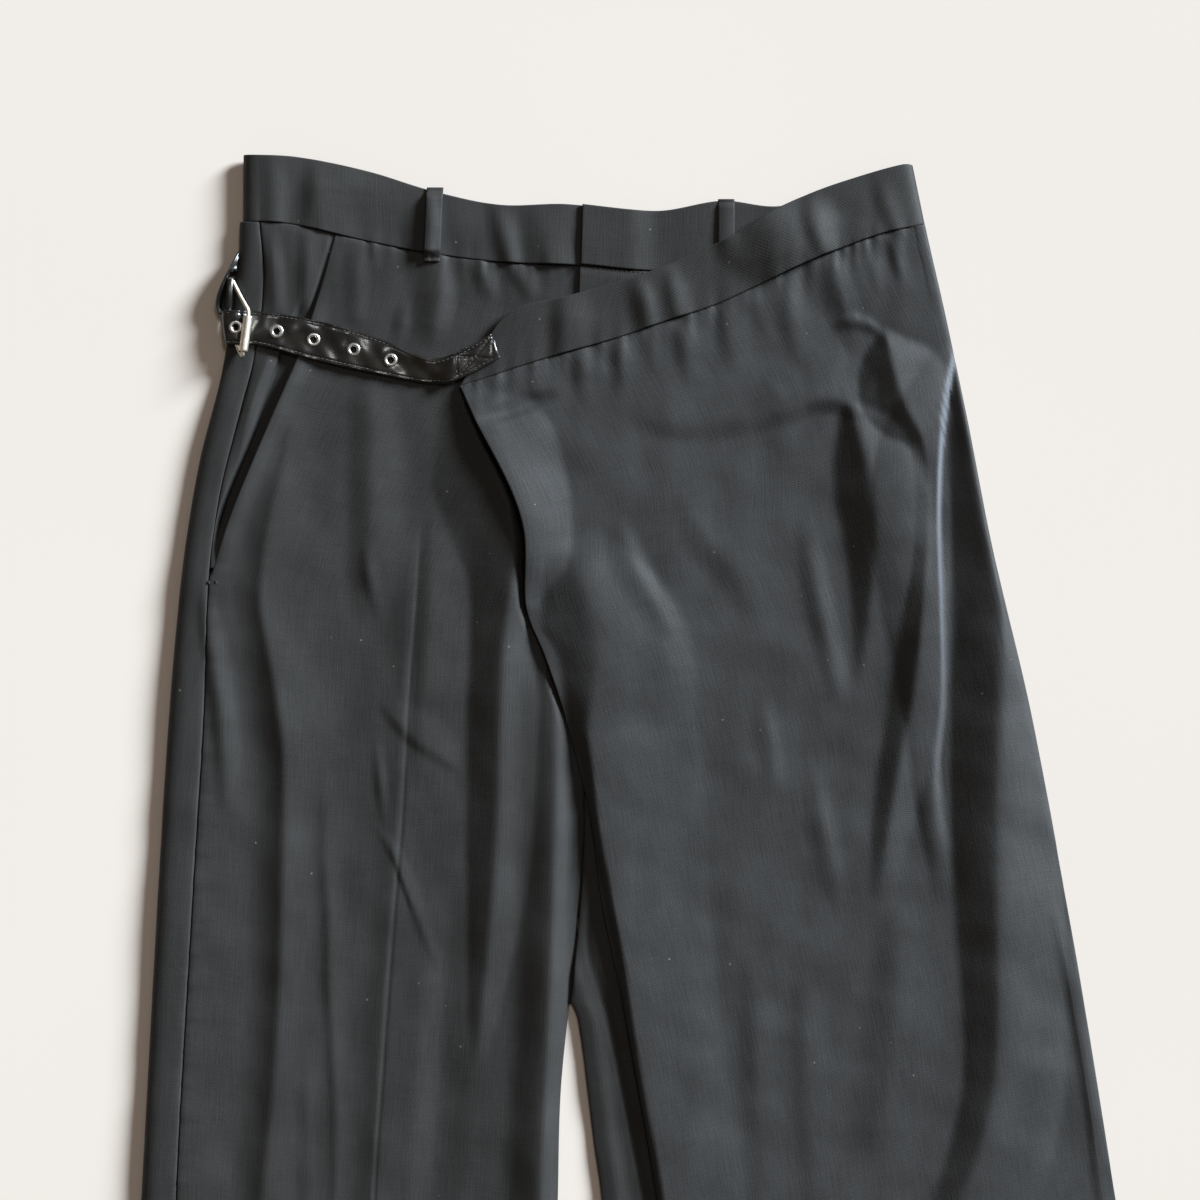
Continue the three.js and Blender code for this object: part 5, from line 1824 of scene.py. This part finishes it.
@dataclass
class Strap:
    """The leather strap with its stitching and eyelets."""

    leather: Material
    metal: Material
    thread: Tree
    eyelets: tuple[float, ...] = (-256.6, -232.2, -210.3, -186.3, -164.1)
    hole: float = 2.7
    margin: float = 1.7
    wide: float = 22.0

    def underside(self, x: Array) -> Array:
        """The strap's underside: over the front, the buckle's lower arm and the band's end.

        Args:
            x: places in mm.

        Returns:
            Heights in mm.
        """
        y = strap_middle(x)
        rounded = 12.0
        near = [front_smooth(x + d, y) for d in (-rounded, 0.0, rounded)]
        on_front = np.maximum.reduce(near) + 1.2
        over_arm = mix(on_front, 9.5, 1 - rise(x, -256, -249.5))
        return mix(over_arm, np.maximum(8.9, on_front), rise(x, -141, -126))

    def face(self, x: Array, share: Array) -> Array:
        """The strap's face.

        Args:
            x: places in mm.
            share: from 0 at its upper edge to 1 at its lower one.

        Returns:
            Points in mm.
        """
        slant = mix(-3.0, 3.0, share) * rise(x, -130, -101)
        y = mix(STRAP_UPPER(x), STRAP_LOWER(x), share)
        tilt = 3.2 * hump(x, -139, 11) * (1 - share)
        wave = 0.35 * np.sin((x + 30 * share) / 9.0) * (1 - rise(x, -130, -120))
        return points_at(x + slant, y, self.underside(x) + LEATHER + tilt + wave)

    def band(self) -> Object:
        """The leather itself, its edges rounded and grooved along the stitching, with its holes cut.

        Returns:
            The piece.
        """
        share = stations(21, 0.8, (0.0, 0.15, 0.4, 0.8))[:, None]
        along = np.linspace(-262, -101, 200)[None, :]
        top = self.face(along + 0 * share, share + 0 * along)
        tail = []
        end = (
            (-266.0, 1.4, 1.4), (-266.7, 3.6, 1.3), (-266.9, 6.0, 1.0), (-266.3, 8.4, 0.5),
            (-265.0, 10.3, 0.1),
        )
        for x, z, inset in end:
            edge_x = x + 2.2 * share
            edge_y = mix(STRAP_UPPER(edge_x) - inset, STRAP_LOWER(edge_x) + inset, share)
            tail.append(np.concatenate([edge_x, edge_y, np.full_like(share, z)], axis=1)[:, None])
        points = np.concatenate(tail + [top], axis=1)
        points[:, :, 2] += self.relief(points[:, :, 0], share)
        piece = Shell("strap_leather", points, LEATHER, self.leather).build()
        cutter = self.cutters()
        cut = piece.modifiers.new("holes", "BOOLEAN")
        cut.operation = "DIFFERENCE"
        cut.solver = "EXACT"
        cut.object = cutter
        mesh = baked(piece)
        piece.modifiers.clear()
        piece.data = mesh
        bpy.data.objects.remove(cutter)
        return place(piece, Slot.LEATHER, "strap")

    def relief(self, x: Array, share: Array) -> Array:
        """A raised rim, grooves where the stitches pull, and dimples round the eyelets.

        Args:
            x: places in mm.
            share: from 0 at the upper edge to 1 at the lower one.

        Returns:
            Heights in mm.
        """
        wide = self.wide
        s = np.minimum(share, 1 - share) * wide
        groove = 0.55 * hump(s, self.margin, 0.45) * (1 - rise(x, -127, -125))
        for (x0, s0), (x1, s1) in self.patch():
            dx, dy = x1 - x0, (s1 - s0) * wide
            px, py = x - x0, (share - s0) * wide
            t = np.clip((px * dx + py * dy) / (dx * dx + dy * dy), 0, 1)
            groove = np.maximum(groove, 0.6 * hump(np.hypot(px - t * dx, py - t * dy), 0, 0.55))
        pillow = 0.35 * np.sin(share * math.pi) + 0.3 * hump(s, 0.75, 0.5)
        for middle in self.eyelets:
            pillow = pillow - 0.45 * np.exp(-(((x - middle) ** 2 + ((share - 0.5) * wide) ** 2) / 30.0))
        return pillow - groove + ripples(x, share * wide, 17, 0.38, 31)

    def patch(self) -> list[tuple[tuple[float, float], tuple[float, float]]]:
        """The box and cross that sew the end down.

        Returns:
            The two ends of each line, as (x, share across).
        """
        low, high = 0.12, 0.88
        corners = [(-124.5, low), (-103.0, low), (-103.0, high), (-124.5, high)]
        sides = list(zip(corners, corners[1:] + corners[:1]))
        return sides + [(corners[0], corners[2]), (corners[1], corners[3])]

    def frames(self) -> list[tuple[Vector, Vector]]:
        """Where the eyelets are.

        Returns:
            The middle of each on the strap's face, and the face's normal there.
        """
        found = []
        for x in self.eyelets:
            here, ahead = (self.face(np.array([x + d]), np.array([0.5]))[0] for d in (-1.5, 1.5))
            slope = Vector(ahead - here)
            normal = Vector((-slope.z, 0.0, slope.x)).normalized()
            middle = Vector(self.face(np.array([x]), np.array([0.5]))[0])
            found.append((middle, normal))
        return found

    def cutters(self) -> Object:
        """Rods that cut the holes.

        Returns:
            The piece.
        """
        build = bmesh.new()
        for middle, normal in self.frames():
            turn = Vector((0, 0, 1)).rotation_difference(normal).to_matrix().to_4x4()
            turn.translation = middle * MM
            bmesh.ops.create_cone(
                build, cap_ends=True, segments=28, radius1=self.hole * MM, radius2=self.hole * MM,
                depth=12 * MM, matrix=turn,
            )
        mesh = bpy.data.meshes.new("cutters")
        build.to_mesh(mesh)
        build.free()
        return linked("cutters", mesh)

    def rings(self) -> Object:
        """The eyelets: a rolled rim on the face and a barrel through the hole.

        Returns:
            The piece.
        """
        rim = [(2.0, -LEATHER), (2.45, -LEATHER), (2.5, 0.1), (3.7, 0.1), (4.0, 0.25), (4.02, 0.5)]
        curl = np.linspace(0.15, math.pi - 0.1, 9)
        rim += [(3.0 + 1.0 * math.cos(a), 0.55 + 0.62 * math.sin(a)) for a in curl]
        rim += [(1.95, 0.2)]
        piece = turned("eyelet_rims", rim, self.frames(), 40, self.metal)
        return place(piece, Slot.EYELET, *(f"eyelet_{i + 1}" for i in range(len(self.eyelets))))

    def stitching(self) -> Object:
        """Rows along both edges, and a box with a cross on the end that is sewn to the band.

        Returns:
            The piece.
        """
        near = self.margin / self.wide
        along = np.linspace(-261, -127.5, 160)
        lines = [self.face(along, np.full_like(along, share)) for share in (near, 1 - near)]
        t = np.linspace(0, 1, 24)
        for (x0, s0), (x1, s1) in self.patch():
            lines.append(self.face(mix(x0, x1, t), mix(s0, s1, t)))
        lifted = [line + np.array([0, 0, -0.12]) for line in lines]
        return stitched("strap_stitches", lifted, self.thread, 2.1, 2.7, 0.24, Slot.LEATHER)

    def build(self) -> None:
        """The strap and all that is on it."""
        self.band()
        self.rings()
        self.stitching()


@dataclass
class Buckle:
    """The wire frame, its roller and the leather tab that holds it."""

    metal: Material
    leather: Material
    wire: float = 1.3
    roller_outer: float = 2.75
    corners: tuple[tuple[float, float, float], ...] = (
        (-248.6, 453.5, 12.6), (-252.4, 427.2, 12.6), (-255, 430.6, 7.7),
        (-261.6, 453.5, 7.5), (-260, 474.3, 7.2), (-254.6, 464, 9.6),
    )
    rim: tuple[tuple[float, float, float], ...] = (
        (452.2, -267.4, 8.6), (457, -268.9, 9.6), (463, -268.3, 10.4), (470, -265.9, 10.9),
        (478, -262, 10.9), (484, -259, 9.6), (490, -256.2, 6.4),
    )

    def frame(self) -> Object:
        """The wire, bent to four tilted sides.

        Returns:
            The piece.
        """
        points = []
        for here, ahead in zip(self.corners, self.corners[1:] + self.corners[:1]):
            a, b = np.array(here), np.array(ahead)
            points += [mix(a, b, 0.1), mix(a, b, 0.3), mix(a, b, 0.7), mix(a, b, 0.9)]
        ring = np.array(points + points[:3])
        at = distances(np.linalg.norm(np.diff(ring, axis=0), axis=1))
        closed = at[len(points)]
        before = slice(len(points) - 3, len(points))
        padded = np.concatenate([at[before] - closed, at])
        looped = np.concatenate([ring[before], ring])
        path = np.stack(columns_at(padded, looped, np.linspace(0, closed, 180, endpoint=False)), axis=1)
        return place(tube("buckle_wire", path, self.wire, 18, self.metal), Slot.BUCKLE, "buckle_frame")

    def roller(self) -> Object:
        """The tube that turns on one side of the frame.

        Returns:
            The piece.
        """
        head, foot = Vector(self.corners[0]), Vector(self.corners[1])
        half = (head - foot).length / 2 - 2.6
        outer, inner = self.roller_outer, 1.7
        low = [(inner, -half), (outer - 0.45, -half), (outer - 0.13, -half + 0.13), (outer, -half + 0.45)]
        middle = [(outer, t) for t in np.linspace(-half + 1.5, half - 1.5, 5)]
        profile = low + middle + mirrored(low)
        piece = turned("buckle_tube", profile, [axle(head, foot)], 48, self.metal)
        return place(piece, Slot.BUCKLE, "buckle_roller")

    def tab(self) -> Object:
        """The leather round the frame's far corner: a hollow with a raised rim, and its turned end above.

        Returns:
            The piece.
        """
        rows = np.array(self.rim)
        y = mix(rows[0, 0], rows[-1, 0], stations(37, 0.7, (0.0, 0.25, 0.7))[:, None])[::-1]
        rim_x, rim_z = columns_at(rows[:, 0], rows[:, 1:], y)
        floor = mix(2.6, 8.2, rise(y, 476.6, 478.4)) + 0.8 * hump(y, 479.2, 1.2) - 0.5 * rise(y, 480, 489)
        hip = HIP_SIDE(y) + 0.5
        profile = (
            (0.5, 1.4, 0), (0.05, 4.5, 0), (0.0, -1.3, 1), (0.3, -0.4, 1), (0.9, 0.0, 1), (1.6, -0.3, 1),
            (2.1, -1.2, 1),
        )
        columns = [(rim_x + dx, np.where(above, rim_z + z, z + 0 * rim_z)) for dx, z, above in profile]
        for share in np.linspace(0, 1, 9):
            inside = np.maximum(hip - rim_x - 2.9, 0.3)
            curve = 1.4 * (1 - share) ** 2 * (rim_z > floor)
            columns.append((rim_x + 2.6 + share * inside, np.minimum(floor + curve, rim_z - 1.3)))
        points = np.stack([points_at(x, y, z)[:, 0] for x, z in columns], axis=1)
        piece = Shell("side_tab_leather", points, 1.0, self.leather, 0.4).build()
        return place(piece, Slot.LEATHER, "side_tab")

    def sleeve(self) -> Object:
        """The fold of the tab's leather round the frame's far side.

        Returns:
            The piece.
        """
        foot, head = Vector(self.corners[3]), Vector(self.corners[4])
        half = (head - foot).length / 2 - 0.5
        low = [(1.35, -half), (2.2, -half), (2.6, 0.7 - half)]
        piece = turned("tab_sleeve", low + mirrored(low), [axle(head, foot)], 28, self.leather)
        return place(piece, Slot.LEATHER)

    def build(self) -> None:
        """All of the buckle."""
        self.frame()
        self.roller()
        self.tab()
        self.sleeve()


@dataclass
class Studio:
    """The pale floor, the lights and the camera straight above."""

    view_x: float = -38.7
    view_y: float = 281.1
    view_width: float = 720.0
    distance: float = 2.0
    key_turn: float = 32.0
    key_height: float = 21.0

    def floor(self) -> None:
        """A large plain sheet, just under the garment."""
        size = 4000.0
        corners = np.array([(-size, -size, 0), (size, -size, 0), (size, size, 0), (-size, size, 0)], float)
        corners[:, 2] = -0.15
        finish = PlainFinish("pale_floor", (0.865, 0.768, 0.694), 0.985, 3.0, (0.3, 0.7), 0.9, 0.1)
        object_of("floor", corners, [[0, 1, 2, 3]], finish.build())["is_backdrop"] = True

    def sun(
        self, name: str, turn: float, height: float, strength: float, softness: float, colour: Colour,
    ) -> None:
        """A far light.

        Args:
            name: the lamp's name.
            turn: where it comes from, in degrees from +X.
            height: above the horizon in degrees.
            strength: in watts a square metre.
            softness: its width in the sky in degrees.
            colour: its colour.
        """
        light = bpy.data.lights.new(name, "SUN")
        light.energy = strength
        light.angle = math.radians(softness)
        light.color = colour
        lamp = linked(name, light)
        a, e = math.radians(turn), math.radians(height)
        source = Vector((math.cos(a) * math.cos(e), math.sin(a) * math.cos(e), math.sin(e)))
        lamp.rotation_euler = source.to_track_quat("Z", "Y").to_euler()

    def world(self) -> None:
        """An even, slightly warm surrounding light."""
        world = bpy.data.worlds.new("studio")
        world.use_nodes = True
        background = world.node_tree.nodes["Background"]
        background.inputs["Color"].default_value = (1.0, 0.79, 0.58, 1.0)
        background.inputs["Strength"].default_value = 0.11
        bpy.context.scene.world = world

    def camera(self) -> None:
        """Looks straight down, with the waist up."""
        data = bpy.data.cameras.new("camera")
        data.sensor_width = 36.0
        data.lens = 36.0 * self.distance / (self.view_width * MM)
        camera = linked("camera", data)
        camera.location = (self.view_x * MM, self.view_y * MM, self.distance + 0.005)
        bpy.context.scene.camera = camera

    def build(self) -> None:
        """Everything round the garment."""
        self.floor()
        self.world()
        self.sun("key", self.key_turn, self.key_height, 9.0, 20.0, (0.815, 0.92, 1.0))
        self.sun("overhead", 60.0, 70.0, 0.28, 11.0, (1.0, 1.0, 1.0))
        self.camera()
        bpy.context.scene.view_settings.view_transform = "Standard"


def main() -> None:
    """Builds the garment piece by piece."""
    logging.basicConfig(level=logging.INFO, format="%(message)s")
    wool = WoolFinish().build()
    painted_lighter_wool = WoolFinish("wool_twill_painted_lighter", (0.0192, 0.0188, 0.0188), (0.056, 0.0555, 0.0565)).build()
    leather = LeatherFinish("strap_leather_finish").build()
    nickel = MetalFinish("nickel", (0.9, 0.9, 0.88), (0.74, 0.73, 0.71), 0.3).build()
    pale = MetalFinish("pale_gold", (0.95, 0.90, 0.79), (0.86, 0.79, 0.66), 0.42).build()
    thread = stitch_tree(thread_finish("strap_thread", (0.13, 0.125, 0.115)))
    tack = stitch_tree(thread_finish("black_thread", (0.03, 0.03, 0.032)))
    right, left = RightLeg(wool), LeftLeg(wool)
    right.back()
    left.back()
    right.facing()
    right.front()
    left.front()
    waist = Waist(wool, tack)
    waist.build()
    wrap = Wrap(wool, painted_lighter_wool)
    wrap.panel()
    wrap.band()
    Seams(tack).build()
    Strap(leather, nickel, thread).build()
    Buckle(pale, leather).build()
    Studio().build()
    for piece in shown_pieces():
        LOG.info("%s: %d faces", piece.name, len(piece.data.polygons))


if __name__ == "__main__":
    main()
